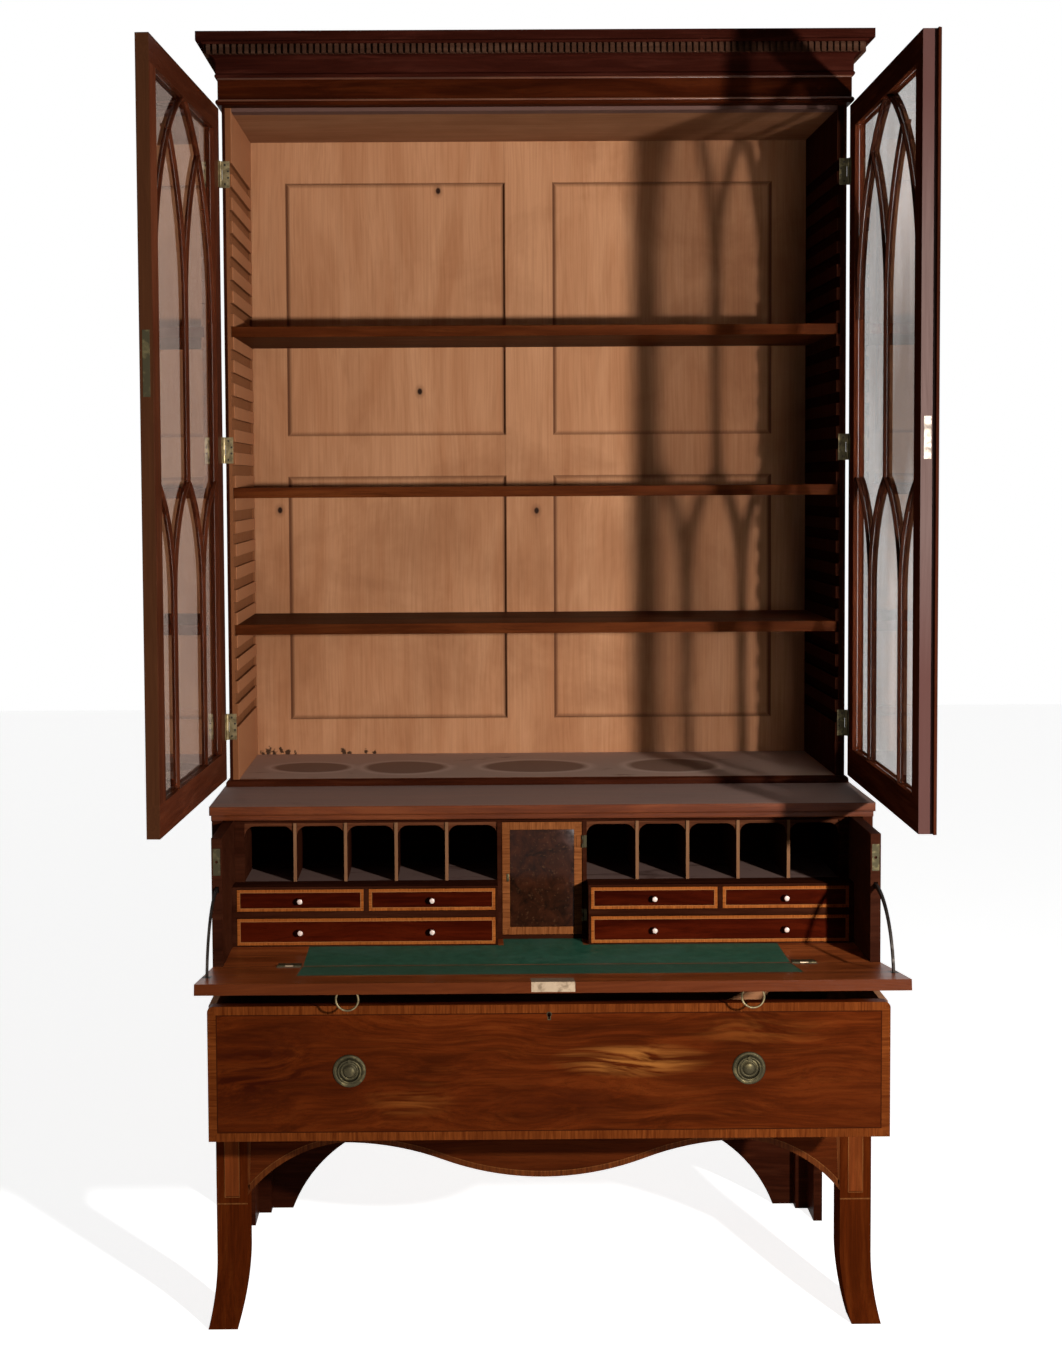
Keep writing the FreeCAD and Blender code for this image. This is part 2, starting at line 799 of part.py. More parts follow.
# Two tiers of pointed arches: a full-width arch with branching mullion above, a lancet and two halves below
def tracery(width, deep, low, high, half):
    def upright(x, bottom, top):
        return Part.makeBox(width, deep, top - bottom, Vector(x - width / 2, 0, bottom))

    upper = high - v.spring_drop
    big = (half ** 2 + v.arch_rise ** 2) / (2 * half)
    branch_top = upper + math.sqrt(big ** 2 - (big - half / 2) ** 2)
    apex = v.door_low + v.lancet_lift
    lower = apex - v.lancet_rise
    quarter = half / 2
    small = (quarter ** 2 + v.lancet_rise ** 2) / (2 * quarter)
    bars = [upright(0, apex - width, upper), upright(-quarter, low, lower), upright(quarter, low, lower)]
    for side in (-1, 1):
        bars.append(curved_bar(side * (half - big), upper, big, width, deep, side, high))
        bars.append(curved_bar(-side * big, upper, big, width, deep, side, branch_top + width / 2))
        bars.append(curved_bar(side * (quarter - small), lower, small, width, deep, side, apex))
        bars.append(curved_bar(side * (quarter + small), lower, small, width, deep, -side, apex))
    window = Part.makeBox(2 * half, deep, high - low, Vector(-half, 0, low))
    return bars[0].multiFuse(bars[1:]).removeSplitter().common(window)


def doors():
    deep = ("-door_face", "-door_gap / 2")
    tall = ("door_low", "door_high")
    far = "hinge_out + door_width"
    for name, way, place in door_places():
        between = mirrored(way, "hinge_out + stile_width", f"{far} - stile_width")
        pieces = [board(mirrored(way, "hinge_out", "hinge_out + stile_width"), deep, tall),
                  board(mirrored(way, f"{far} - stile_width", far), deep, tall),
                  board(between, deep, ("door_low", "window_low")),
                  board(between, deep, ("window_high", "door_high"))]
        node(f"{name}_door_frame", pieces, **place)
        glazing(name, way, place)
        if way < 0:
            meeting_bead(way, place)


def glazing(name, way, place):
    half = v.window_half
    low = v.window_low
    high = v.window_high
    middle = way * (v.hinge_out + v.door_width / 2)
    face = v.bar_setback - v.door_face
    bars = tracery(v.bar_width, v.bar_depth, low, high, half)
    webs = tracery(v.web_width, v.web_depth, low, high, half)
    webs.translate(Vector(0, v.bar_depth, 0))
    lattice = bars.fuse(webs).removeSplitter()
    lattice.translate(Vector(middle, face, 0))
    node(f"{name}_door_glazing_bars", [shaped(lattice)], **place)
    play = v.glass_play
    gap = tracery(v.web_width + 2 * play, v.glass_thick, low, high, half)
    corner = Vector(play - half, 0, low + play)
    light = Part.makeBox(2 * (half - play), v.glass_thick, high - low - 2 * play, corner)
    panes = light.cut(gap)
    panes.translate(Vector(middle, face + v.bar_depth + play, 0))
    node(f"{name}_door_panes", [shaped(pane) for pane in panes.Solids], **place)


# A half-round closing bead on the right door laps over the edge of the left one
def meeting_bead(way, place):
    edge = "hinge_out + door_width"
    reach = f"{edge} + meeting_gap / 2 + meeting_bead_width / 2"
    middle = v.hinge_out + v.door_width + v.meeting_gap / 2

    def at(along, proud):
        return Vector(way * (middle + along), -v.door_face - proud, v.door_low)

    start = at(-v.meeting_bead_width / 2, 0)
    end = at(v.meeting_bead_width / 2, 0)
    half_round = [arc(start, at(0, v.meeting_bead_proud), end), line(end, start)]
    bead = shaped(prism(half_round, Vector(0, 0, v.door_high - v.door_low)))
    lap = board(mirrored(way, edge, reach), ("-door_face - bead_play", "-door_face"),
                ("door_low", "door_high"))
    node("meeting_bead", [cut(bead, [lap])], **place)


# Secretaire drawer, drawn with its hinge line at the origin of Y
sec_place = dict(at=("0", "front_y - secretaire_out", "0"))


# A quarter ring about the fall's hinge line, from one angle above the open fall to another
def ring_sector(inner, outer, x, thick, start, end, height):
    def at(radius, angle):
        turn = math.radians(angle)
        return Vector(x, -radius * math.cos(turn), height + radius * math.sin(turn))

    middle = (start + end) / 2
    edges = [arc(at(outer, start), at(outer, middle), at(outer, end)),
             line(at(outer, end), at(inner, end)),
             arc(at(inner, end), at(inner, middle), at(inner, start)),
             line(at(inner, start), at(outer, start))]
    return prism(edges, Vector(thick, 0, 0))


def stay_left_face(side):
    return side * v.stay_x - v.stay_thick / 2


def secretaire_drawer():
    front = "fall_gap"
    back = "secretaire_depth"
    pieces = []
    for side in (-1, 1):
        plank = board(mirrored(side, "secretaire_inner", "secretaire_half"), (front, back),
                      ("secretaire_low", "secretaire_top"))
        play = v.stay_play
        slot = ring_sector(v.stay_radius - v.stay_width / 2 - play, v.stay_radius + v.stay_width / 2 + play,
                           stay_left_face(side) - play, v.stay_thick + 2 * play,
                           v.slot_start_angle, v.slot_end_angle, v.secretaire_floor)
        pieces.append(cut(plank, [shaped(slot), catch_plate(side)]))
    inner = ("-secretaire_inner", "secretaire_inner")
    pieces.append(board(inner, ("unit_back", back), ("secretaire_floor", "unit_top")))
    node("secretaire_case", pieces, **sec_place)
    floor = board(inner, (front, back), ("secretaire_low", "secretaire_floor"))
    sunk = [leather_panel()]
    for side in (-1, 1):
        sunk.extend((floor_leaf(side), hinge_relief(side, "secretaire_floor")))
    node("secretaire_floor", [cut(floor, sunk)], **sec_place)
    node("floor_leather", [leather_panel()], **sec_place)


def leather_panel():
    thick = ("secretaire_floor - leather_thick", "secretaire_floor")
    panel = board(("-leather_half", "leather_half"), ("fall_gap + leather_border", "unit_setback"), thick)
    tongue_half = "prospect_half - leather_border"
    tongue = board((f"-({tongue_half})", tongue_half), ("unit_setback", "pigeon_front"), thick)
    return together([panel, tongue])


def catch_plate(side):
    x = mirrored(side, "stay_x - catch_width / 2", "stay_x + catch_width / 2")
    return board(x, ("fall_gap", "fall_gap + catch_thick"), ("catch_low", "catch_low + catch_height"))


def hinge_x(side):
    return mirrored(side, "fall_hinge_x - fall_hinge_width / 2", "fall_hinge_x + fall_hinge_width / 2")


def hinge_relief(side, height):
    low = f"{hinge_x(side)[0]} - fall_gap"
    return rod((low, "0", height), "x", "fall_knuckle + fall_gap", "fall_hinge_width + 2 * fall_gap")


# Half a hinge about a line: knuckles, their leaf and, on the fixed half, the pin
def hinge_rod(axis, centre, low, radius, length):
    places = dict(x=(low, *centre), z=(*centre, low))
    return rod(places[axis], axis, radius, length)


def hinge_halves(axis, centre, low, tall, radius, pin):
    third = f"({tall}) / 3"
    short = f"{third} - knuckle_play"
    outer = [(low, short), (f"{low} + 2 * {third} + knuckle_play", short)]
    inner = [(f"{low} + {third}", third)]

    def barrels(spans):
        return [hinge_rod(axis, centre, start, radius, length) for start, length in spans]

    def reliefs(spans):
        return [hinge_rod(axis, centre, f"{start} - 2 * knuckle_play", f"{radius} + knuckle_play",
                          f"{length} + 4 * knuckle_play") for start, length in spans]

    def fixed(leaf):
        spindle = hinge_rod(axis, centre, low, pin, tall)
        return together([cut(leaf, reliefs(inner)), *barrels(outer), spindle])

    def moving(leaf):
        bore = hinge_rod(axis, centre, low, f"{pin} + pin_play", tall)
        return cut(together([cut(leaf, reliefs(outer)), *barrels(inner)]), [bore])

    return fixed, moving


def door_hinges():
    for name, way, place in door_places():
        fixed_pieces = []
        moving_pieces = []
        for height in ("top_hinge", "middle_hinge", "bottom_hinge"):
            low = f"{height} - hinge_height / 2"
            tall = "hinge_height"
            fixed, moving = hinge_halves("z", ("0", "0"), low, tall, "knuckle_radius", "pin_radius")
            leaf_x = mirrored(way, "0", "hinge_out + leaf_width")
            leaf_z = (low, f"{low} + {tall}")
            case_leaf = board(leaf_x, ("door_gap / 2 - hinge_leaf", "door_gap / 2"), leaf_z)
            door_leaf = board(leaf_x, ("-door_gap / 2", "hinge_leaf - door_gap / 2"), leaf_z)
            fixed_pieces.append(fixed(case_leaf))
            moving_pieces.append(moving(door_leaf))
        node(f"{name}_case_hinges", fixed_pieces, at=place["at"])
        node(f"{name}_door_hinges", moving_pieces, **place)


# Brass fittings of the secretaire drawer: catch plates, the fixed fall hinges and prospect door hinges
def secretaire_brasses():
    pieces = []
    for side in (-1, 1):
        hole = rod((f"({side}) * stay_x", "0", "catch_low + catch_height / 2"), "y", "catch_hole",
                   "fall_gap + 2 * catch_thick")
        pieces.append(cut(catch_plate(side), [hole]))
        fixed, moving = fall_hinge(side, "secretaire_floor")
        pieces.append(fixed(floor_leaf(side)))
    for fixed, moving, low in prospect_hinges():
        leaf = board(("prospect_half", "post_outer"),
                     ("pigeon_front - prospect_leaf", "pigeon_front"),
                     (low, f"{low} + prospect_hinge_height"))
        pieces.append(fixed(leaf))
    node("secretaire_brasses", pieces, **sec_place)


def fall_hinge(side, height):
    return hinge_halves("x", ("0", height), hinge_x(side)[0], "fall_hinge_width", "fall_knuckle", "fall_pin")


def prospect_hinges():
    centre = ("prospect_half", "pigeon_front - prospect_knuckle - knuckle_play")
    tall = "prospect_hinge_height"
    for low in ("prospect_low + prospect_hinge_inset", f"unit_top - prospect_hinge_inset - {tall}"):
        yield (*hinge_halves("z", centre, low, tall, "prospect_knuckle", "prospect_pin"), low)


# Fitted interior: two banks of drawers stand forward of the pigeonholes and the prospect door
bank_deep = ("unit_setback", "unit_back")
pigeon_deep = ("pigeon_front", "unit_back")


def pigeonhole_case():
    wide = ("-secretaire_inner", "secretaire_inner")
    pieces = [board(wide, pigeon_deep, ("unit_top", "unit_top + unit_top_board")),
              board(("-prospect_half", "prospect_half"), pigeon_deep, ("secretaire_floor", "prospect_low"))]
    boards = (("prospect_half", "post_outer", "secretaire_floor", "unit_top", pigeon_deep),
              ("pigeon_outer", "secretaire_inner", "pigeon_floor", "unit_top", pigeon_deep),
              ("post_outer", "bay_inner", "secretaire_floor", "pigeon_board", bank_deep),
              ("bay_inner", "secretaire_inner", "secretaire_floor", "unit_low", bank_deep),
              ("bay_outer", "secretaire_inner", "unit_low", "pigeon_board", bank_deep),
              ("bay_inner", "bay_outer", "rail_low", "rail_high", bank_deep),
              ("small_split", "small_far", "rail_high", "pigeon_board", bank_deep),
              ("post_outer", "secretaire_inner", "pigeon_board", "pigeon_floor", bank_deep))
    for side in (-1, 1):
        for low, high, bottom, top, deep in boards:
            pieces.append(board(mirrored(side, low, high), deep, (bottom, top)))
    node("pigeonhole_case", pieces, **sec_place)


def pigeonhole_dividers():
    dividers = []
    valances = []
    for side in (-1, 1):
        for index in range(int(v.pigeon_count)):
            low = f"post_outer + {index} * bay_pitch"
            high = f"post_outer + {index + 1} * bay_pitch"
            near = f"{low} + pigeon_divider / 2" if index else low
            far = high
            if index + 1 < v.pigeon_count:
                far = f"{high} - pigeon_divider / 2"
                dividers.append(board(mirrored(side, far, f"{far} + pigeon_divider"), pigeon_deep,
                                      ("pigeon_floor", "unit_top")))
            valances.append(valance(mirrored(side, near, far)))
    node("pigeonhole_dividers", dividers, **sec_place)
    node("pigeonhole_arches", valances, **sec_place)


# A valance across the head of one pigeonhole: a flat arch with round shoulders
def valance(x):
    front = "pigeon_front + valance_setback"
    deep = (front, f"{front} + valance_thick")
    low = "unit_top - valance_height"
    shoulder = "valance_rise * 0.92"
    ends = (f"{x[0]} + {shoulder}", f"{x[1]} - {shoulder}")
    hollows = [rod((place, front, low), "y", "valance_rise", "valance_thick") for place in ends]
    hollows.append(board(ends, deep, (low, f"{low} + valance_rise")))
    return cut(board(x, deep, (low, "unit_top")), hollows)


# Prospect door between the posts, with its hinge halves and a knob
def prospect_door():
    deep = ("pigeon_front", "pigeon_front + prospect_thick")
    tall = ("prospect_low + prospect_play", "unit_top - prospect_play")
    wide = ("-prospect_half + prospect_play", "prospect_half - prospect_play")
    band = "prospect_band"
    field = (f"{wide[0]} + {band}", f"{wide[1]} - {band}")
    span = (f"{tall[0]} + {band}", f"{tall[1]} - {band}")
    recess = board(field, ("pigeon_front", "pigeon_front + prospect_recess"), span)
    fill = ("pigeon_front + prospect_recess - prospect_fill", "pigeon_front + prospect_recess")
    pieces = [cut(board(wide, deep, tall), [recess]), board(field, fill, span)]
    for fixed, moving, low in prospect_hinges():
        leaf = board(("prospect_half - prospect_leaf_width", "prospect_half"),
                     ("pigeon_front - prospect_leaf", "pigeon_front"),
                     (low, f"{low} + prospect_hinge_height"))
        pieces.append(moving(leaf))
    node("prospect_door", pieces, **sec_place)


# A turned knob on a face that looks to the front
def knob(x, face, z):
    corners = [("0", "0"), ("knob_neck", "0"), ("knob_neck", "knob_reach * 0.42"),
               ("knob_radius", "knob_reach * 0.62"), ("knob_radius * 0.9", "knob_reach * 0.84"),
               ("knob_radius * 0.45", "knob_reach"), ("0", "knob_reach")]
    return turned("knob", corners, (x, face, z))


# The box behind a drawer front: two sides, a back and a bottom between them
def drawer_box(x, z, y, side, bottom):
    left = (x[0], f"{x[0]} + {side}")
    right = (f"{x[1]} - {side}", x[1])
    middle = (left[1], right[0])
    behind = f"{y[1]} - {side}"
    return [board(left, y, z), board(right, y, z), board(middle, (behind, y[1]), z),
            board(middle, (y[0], behind), (z[0], f"{z[0]} + {bottom}"))]


def small_drawers():
    face = ("unit_setback", "unit_setback + inner_front")
    deep = ("unit_setback + inner_front", "unit_setback + inner_depth")
    gap = "inner_drawer_gap"
    wide_z = (f"unit_low + {gap}", f"rail_low - {gap}")
    small_z = (f"rail_high + {gap}", f"pigeon_board - {gap}")
    cells = (("wide", "bay_inner", "bay_outer", wide_z, ("knob_outer_x", "knob_inner_x")),
             ("inner", "bay_inner", "small_split", small_z, ("knob_inner_x",)),
             ("outer", "small_far", "bay_outer", small_z, ("knob_outer_x",)))
    for hand, side in (("left", -1), ("right", 1)):
        for name, low, high, z, knobs in cells:
            x = mirrored(side, f"{low} + {gap}", f"{high} - {gap}")
            box_z = (z[0], f"{z[1]} - inner_bottom")
            pieces = [board(x, face, z), *drawer_box(x, box_z, deep, "inner_side", "inner_bottom")]
            for place in knobs:
                pieces.append(knob(f"({side}) * ({place})", "unit_setback", f"(({z[0]}) + ({z[1]})) / 2"))
            node(f"{hand}_{name}_drawer", pieces, **sec_place)


# Fall front, drawn closed about its hinge line and let down to its rest
fall_place = dict(at=("0", "front_y - secretaire_out", "secretaire_floor"),
                  axis=Vector(1, 0, 0), angle="fall_angle")


def fall_leather():
    return board(("-leather_half", "leather_half"), ("-leather_thick", "0"),
                 ("leather_border", "leather_reach"))


def fall_leaf(side):
    return board(hinge_x(side), ("-fall_leaf", "0"), ("fall_gap", "fall_leaf_length"))


def floor_leaf(side):
    return board(hinge_x(side), ("fall_gap", "fall_leaf_length"),
                 ("secretaire_floor - fall_leaf", "secretaire_floor"))


def lock_plates():
    half = "fall_lock_width / 2"
    face = board((f"-{half}", half), ("-fall_lock_thick", "0"),
                 ("fall_height - fall_lock_length", "fall_height"))
    edge = board((f"-{half}", half), ("-fall_lock_edge", "-fall_lock_thick"),
                 ("fall_height - fall_lock_thick", "fall_height"))
    return [face, edge]


def stay_feet(side):
    reach = "stay_thick / 2 + stay_foot_side"
    return board(mirrored(side, f"stay_x - ({reach})", f"stay_x + {reach}"), ("-stay_foot_thick", "0"),
                 ("stay_radius - stay_foot / 2", "stay_radius + stay_foot / 2"))


def fall_front():
    plank = board(("-fall_half", "fall_half"), ("-fall_thick", "0"), ("fall_gap", "fall_height"))
    sides = (-1, 1)
    pockets = [fall_leather(), *lock_plates(), *[fall_leaf(side) for side in sides],
               *[stay_feet(side) for side in sides], *[hinge_relief(side, "0") for side in sides]]
    node("fall_board", [cut(plank, pockets)], **fall_place)
    node("fall_leather", [fall_leather()], **fall_place)
    pieces = []
    for side in sides:
        fixed, moving = fall_hinge(side, "0")
        pieces.append(moving(fall_leaf(side)))
    pieces.append(together(lock_plates()))
    for side in sides:
        pieces.append(ring_plate(f"({side}) * ring_x", "-fall_thick", "fall_ring_height"))
    node("fall_brasses", pieces, **fall_place)
    stays = []
    for side in sides:
        hoop = ring_sector(v.stay_radius - v.stay_width / 2, v.stay_radius + v.stay_width / 2,
                           stay_left_face(side), v.stay_thick, v.stay_start_angle, v.stay_end_angle, 0)
        stays.append(together([shaped(hoop), stay_feet(side)]))
    node("quadrant_stays", stays, **fall_place)
    lean = "(fall_thick + ring_stand)"
    pivot = "(fall_ring_height + ring_radius)"
    hang_y = f"front_y - secretaire_out - {lean} * cos(fall_angle) - {pivot} * sin(fall_angle)"
    hang_z = f"secretaire_floor - {lean} * sin(fall_angle) + {pivot} * cos(fall_angle)"
    rings("fall", hang_y, hang_z)


# A ring pull: a stepped round plate with a pierced lug, and the ring that swings in it
def ring_plate(x, face, z):
    inner_rim = "plate_radius - 2 * plate_rim"
    crest = "plate_radius - plate_rim"
    boss_top = "plate_thick + plate_boss_height"
    corners = [("0", "0"), ("plate_radius", "0"), ("plate_radius", "plate_thick / 2"),
               (crest, "plate_thick + plate_rim_height"), (inner_rim, "plate_thick"),
               ("plate_boss", "plate_thick"), ("plate_boss * 0.5", boss_top), ("0", boss_top)]
    dome = turned("ring_plate", corners, (x, face, z))
    pivot = f"{z} + ring_radius"
    stand = "(ring_stand + lug_radius)"
    lug = rod((x, f"{face} - {stand}", pivot), "y", "lug_radius", stand)
    eye = rod((f"{x} - 2 * lug_radius", f"{face} - ring_stand", pivot), "x", "ring_wire + ring_play",
              "4 * lug_radius")
    return cut(together([dome, lug]), [eye])


# A ring of wire bent from short straight lengths, mitred where they meet, that hangs from its pivot
def ring_shape():
    lengths = 24
    flats = 6
    stretch = math.cos(math.pi / lengths)

    def corner(index, flat):
        turn = 2 * math.pi * (index + 0.5) / lengths
        tilt = 2 * math.pi * flat / flats
        radius = (v.ring_radius + v.ring_wire * math.cos(tilt)) / stretch
        height = radius * math.sin(turn) - v.ring_radius
        return Vector(radius * math.cos(turn), v.ring_wire * math.sin(tilt), height)

    faces = []
    for index in range(lengths):
        for flat in range(flats):
            quad = [corner(index, flat), corner(index + 1, flat),
                    corner(index + 1, flat + 1), corner(index, flat + 1)]
            faces.append(Part.Face(wire_of(quad)))
    solid = Part.Solid(Part.Shell(faces))
    return solid if solid.Volume > 0 else solid.reversed()


def rings(name, y, z):
    for hand, side in (("left", -1), ("right", 1)):
        node(f"{name}_{hand}_ring", [shaped(ring_shape())], at=(f"({side}) * ring_x", y, z))


# Long drawer, drawn closed and pulled out to its rest
long_place = dict(at=("0", "front_y - long_out", "0"))


def long_drawer():
    x = ("-secretaire_half", "secretaire_half")
    node("long_drawer_front", [board(x, ("0", "long_front"), ("long_low", "long_high"))], **long_place)
    box = drawer_box(x, ("long_low", "long_side_high"), ("long_front", "long_depth"),
                     "long_side", "long_bottom")
    node("long_drawer_box", box, **long_place)
    plates = [ring_plate(f"({side}) * ring_x", "0", "long_ring_height") for side in (-1, 1)]
    node("long_drawer_plates", plates, **long_place)
    rings("long", "front_y - long_out - ring_stand", "long_ring_height + ring_radius")


for build in (base_case, front_legs, apron, side_skirts, rear_feet, bookcase, bookcase_panelling, shelves,
              crown_mouldings, doors, door_hinges, secretaire_drawer, secretaire_brasses, pigeonhole_case,
              pigeonhole_dividers, prospect_door, small_drawers, fall_front, long_drawer):
    build()
doc.recompute()

# Every solid is checked before its file is written
os.makedirs("parts", exist_ok=True)
for item in doc.Objects:
    if "Invalid" in item.State or "Error" in item.State:
        raise RuntimeError(f"{item.Label} does not recompute")
for group in nodes:
    if group.Shape.isNull() or not group.Shape.isValid() or not group.Shape.Solids:
        raise RuntimeError(f"{group.Label} is not a valid solid")
    group.Shape.exportStep(f"parts/{group.Label}.step")
    print(group.Label, len(group.Shape.Solids), "solids")
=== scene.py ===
import json
import math

import bmesh
import bpy
from mathutils import Euler, Matrix, Vector


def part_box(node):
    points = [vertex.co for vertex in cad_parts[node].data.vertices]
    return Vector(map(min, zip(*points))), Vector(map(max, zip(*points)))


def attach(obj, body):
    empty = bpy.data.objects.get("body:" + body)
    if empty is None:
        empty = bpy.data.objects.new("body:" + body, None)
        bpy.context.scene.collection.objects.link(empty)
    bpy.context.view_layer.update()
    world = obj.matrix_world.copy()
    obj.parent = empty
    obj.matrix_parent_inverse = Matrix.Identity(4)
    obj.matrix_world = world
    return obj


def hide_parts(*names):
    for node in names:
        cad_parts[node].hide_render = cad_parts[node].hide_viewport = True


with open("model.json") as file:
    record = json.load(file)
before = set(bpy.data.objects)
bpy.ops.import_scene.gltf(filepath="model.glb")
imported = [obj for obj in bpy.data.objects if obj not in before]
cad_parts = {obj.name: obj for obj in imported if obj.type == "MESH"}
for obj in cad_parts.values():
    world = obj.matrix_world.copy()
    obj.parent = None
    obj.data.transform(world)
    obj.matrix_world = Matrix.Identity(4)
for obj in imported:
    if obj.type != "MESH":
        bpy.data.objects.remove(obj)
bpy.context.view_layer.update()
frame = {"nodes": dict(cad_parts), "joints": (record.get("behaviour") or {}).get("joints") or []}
nodes = frame["nodes"]
joints = {joint["name"]: joint for joint in frame["joints"]}
outward = dict(left=-1, right=1)
print("frame loaded with", len(nodes), "nodes")


# the node tree that the helpers work in
work = dict(tree=None)


# links a socket or sets a value on each named input of a node
def fill(node, inputs):
    for key, value in inputs.items():
        if isinstance(value, bpy.types.NodeSocket):
            work["tree"].links.new(value, node.inputs[key])
        else:
            node.inputs[key].default_value = value


def addNode(kind, inputs=None, **settings):
    node = work["tree"].nodes.new(kind)
    for key, value in settings.items():
        setattr(node, key, value)
    fill(node, inputs or {})
    return node


def calc(operation, first, second=0.0):
    return addNode("ShaderNodeMath", {0: first, 1: second}, operation=operation).outputs[0]


def times(first, second):
    return calc("MULTIPLY", first, second)


def isLess(first, second):
    return calc("LESS_THAN", first, second)


def isMore(first, second):
    return calc("GREATER_THAN", first, second)


def opaque(tone):
    return (*tone, 1) if isinstance(tone, tuple) else tone


def mixColour(factor, first, second, mode="MIX"):
    inputs = {0: factor, 6: opaque(first), 7: opaque(second)}
    return addNode("ShaderNodeMix", inputs, data_type="RGBA", blend_type=mode).outputs[2]


def mixVector(factor, first, second):
    return addNode("ShaderNodeMix", {0: factor, 4: first, 5: second}, data_type="VECTOR").outputs[1]


def spread(value, low, high, start=0.0, end=1.0):
    return addNode("ShaderNodeMapRange", {0: value, 1: low, 2: high, 3: start, 4: end}).outputs[0]


def vectorCalc(operation, first, second=(0, 0, 0), output=0):
    return addNode("ShaderNodeVectorMath", {0: first, 1: second}, operation=operation).outputs[output]


def stretch(vector, factors):
    return vectorCalc("MULTIPLY", vector, factors)


def distance(first, second):
    return vectorCalc("DISTANCE", first, second, 1)


def splitUp(vector):
    return addNode("ShaderNodeSeparateXYZ", {0: vector}).outputs


def joinUp(*parts):
    return addNode("ShaderNodeCombineXYZ", dict(enumerate(parts))).outputs[0]


def noise(vector, scale, detail=2.0, rough=0.5, warp=0.0):
    inputs = {"Vector": vector, "Scale": scale, "Detail": detail, "Roughness": rough, "Distortion": warp}
    return addNode("ShaderNodeTexNoise", inputs).outputs[0]


# noise drawn out along X
def drawnNoise(vector, draw, **settings):
    return noise(stretch(vector, (draw, 1, 1)), **settings)


def openGroup(name, inputs, outputs):
    work["tree"] = bpy.data.node_groups.new(name, "ShaderNodeTree")
    for way, sockets in (("INPUT", inputs), ("OUTPUT", outputs)):
        for label, kind in sockets.items():
            work["tree"].interface.new_socket(name=label, in_out=way, socket_type="NodeSocket" + kind)
    return addNode("NodeGroupInput").outputs, addNode("NodeGroupOutput")


def closeGroup(result, **values):
    fill(result, values)
    return work["tree"]


def placeGroup(group, **inputs):
    return addNode("ShaderNodeGroup", inputs, node_tree=group).outputs


# long grain: coordinates come in with the grain along X
grainLook = dict(
    drift=dict(draw=0.4, scale=5.0),
    figure=dict(detail=4.0, rough=0.55, warp=0.6),
    cloud=dict(draw=0.5, scale=3.2),
    ribbon=dict(draw=0.07, scale=85.0, detail=3.0, rough=0.55, warp=0.3),
    streak=dict(draw=0.02, scale=260.0, detail=3.0, rough=0.6),
    pore=dict(draw=0.035, scale=1150.0, detail=1.0),
    poreEdge=(0.6, 0.7),
)


def makeGrainGroup():
    given, result = openGroup(
        "woodGrain", dict(Vector="Vector", Scale="Float", Reach="Float", Wander="Float"),
        dict.fromkeys(("Figure", "Cloud", "Ribbon", "Streak", "Pore"), "Float"))
    drift = drawnNoise(given["Vector"], **grainLook["drift"])
    push = times(calc("SUBTRACT", drift, 0.5), given["Wander"])
    bent = vectorCalc("ADD", given["Vector"], joinUp(0.0, push, push))
    long = stretch(bent, joinUp(given["Reach"], 1.0, 1.0))
    return closeGroup(
        result, Figure=noise(long, given["Scale"], **grainLook["figure"]),
        Cloud=drawnNoise(given["Vector"], **grainLook["cloud"]),
        Ribbon=drawnNoise(bent, **grainLook["ribbon"]), Streak=drawnNoise(bent, **grainLook["streak"]),
        Pore=spread(drawnNoise(bent, **grainLook["pore"]), *grainLook["poreEdge"]))


# distance in from the edge of a rectangle in X and Z, for crossbanding and painted shade along edges
def makeBorderGroup():
    given, result = openGroup(
        "veneerBorder", dict(Vector="Vector", Centre="Vector", Half="Vector", Band="Float", Line="Float"),
        dict.fromkeys(("Depth", "Band", "Line", "Ends"), "Float"))
    away = vectorCalc("ABSOLUTE", vectorCalc("SUBTRACT", given["Vector"], given["Centre"]))
    parts = splitUp(vectorCalc("SUBTRACT", given["Half"], away))
    depth = calc("MINIMUM", parts[0], parts[2])
    offLine = calc("ABSOLUTE", calc("SUBTRACT", depth, given["Band"]))
    return closeGroup(result, Depth=depth, Band=isLess(depth, given["Band"]),
                      Line=isLess(offLine, times(given["Line"], 0.5)), Ends=isLess(parts[0], parts[2]))


# grime and dust in cloudy patches
grimeLook = dict(cloud=dict(detail=5.0, rough=0.6, warp=0.4), bare=0.75, gain=0.5, soft=0.2)


def makeGrimeGroup():
    given, result = openGroup(
        "grimePatches", dict(Vector="Vector", Scale="Float", Cover="Float"), dict(Mask="Float"))
    cloud = noise(given["Vector"], given["Scale"], **grimeLook["cloud"])
    edge = calc("SUBTRACT", grimeLook["bare"], times(given["Cover"], grimeLook["gain"]))
    return closeGroup(result, Mask=spread(cloud, edge, calc("ADD", edge, grimeLook["soft"])))


# short-grained veneer, with its grain along the X of the runs
crossLook = dict(grain=dict(draw=0.06, scale=330.0, detail=3.0, rough=0.6), contrast=(0.32, 0.68),
                 patch=dict(scale=9.0, detail=1.0), patchLevel=(0.45, 0.65, 0.0, 0.35))


def makeCrossGroup():
    given, result = openGroup(
        "crossVeneer", dict(Vector="Vector", Runs="Vector", Low="Color", High="Color"), dict(Colour="Color"))
    cross = spread(drawnNoise(given["Runs"], **crossLook["grain"]), *crossLook["contrast"])
    patch = spread(noise(given["Vector"], **crossLook["patch"]), *crossLook["patchLevel"])
    veneer = mixColour(cross, given["Low"], given["High"])
    return closeGroup(result, Colour=mixColour(patch, veneer, given["Low"]))


grainGroup = makeGrainGroup()
borderGroup = makeBorderGroup()
grimeGroup = makeGrimeGroup()
crossGroup = makeCrossGroup()


def grimeMask(vector, scale, cover):
    return placeGroup(grimeGroup, Vector=vector, Scale=scale, Cover=cover)["Mask"]


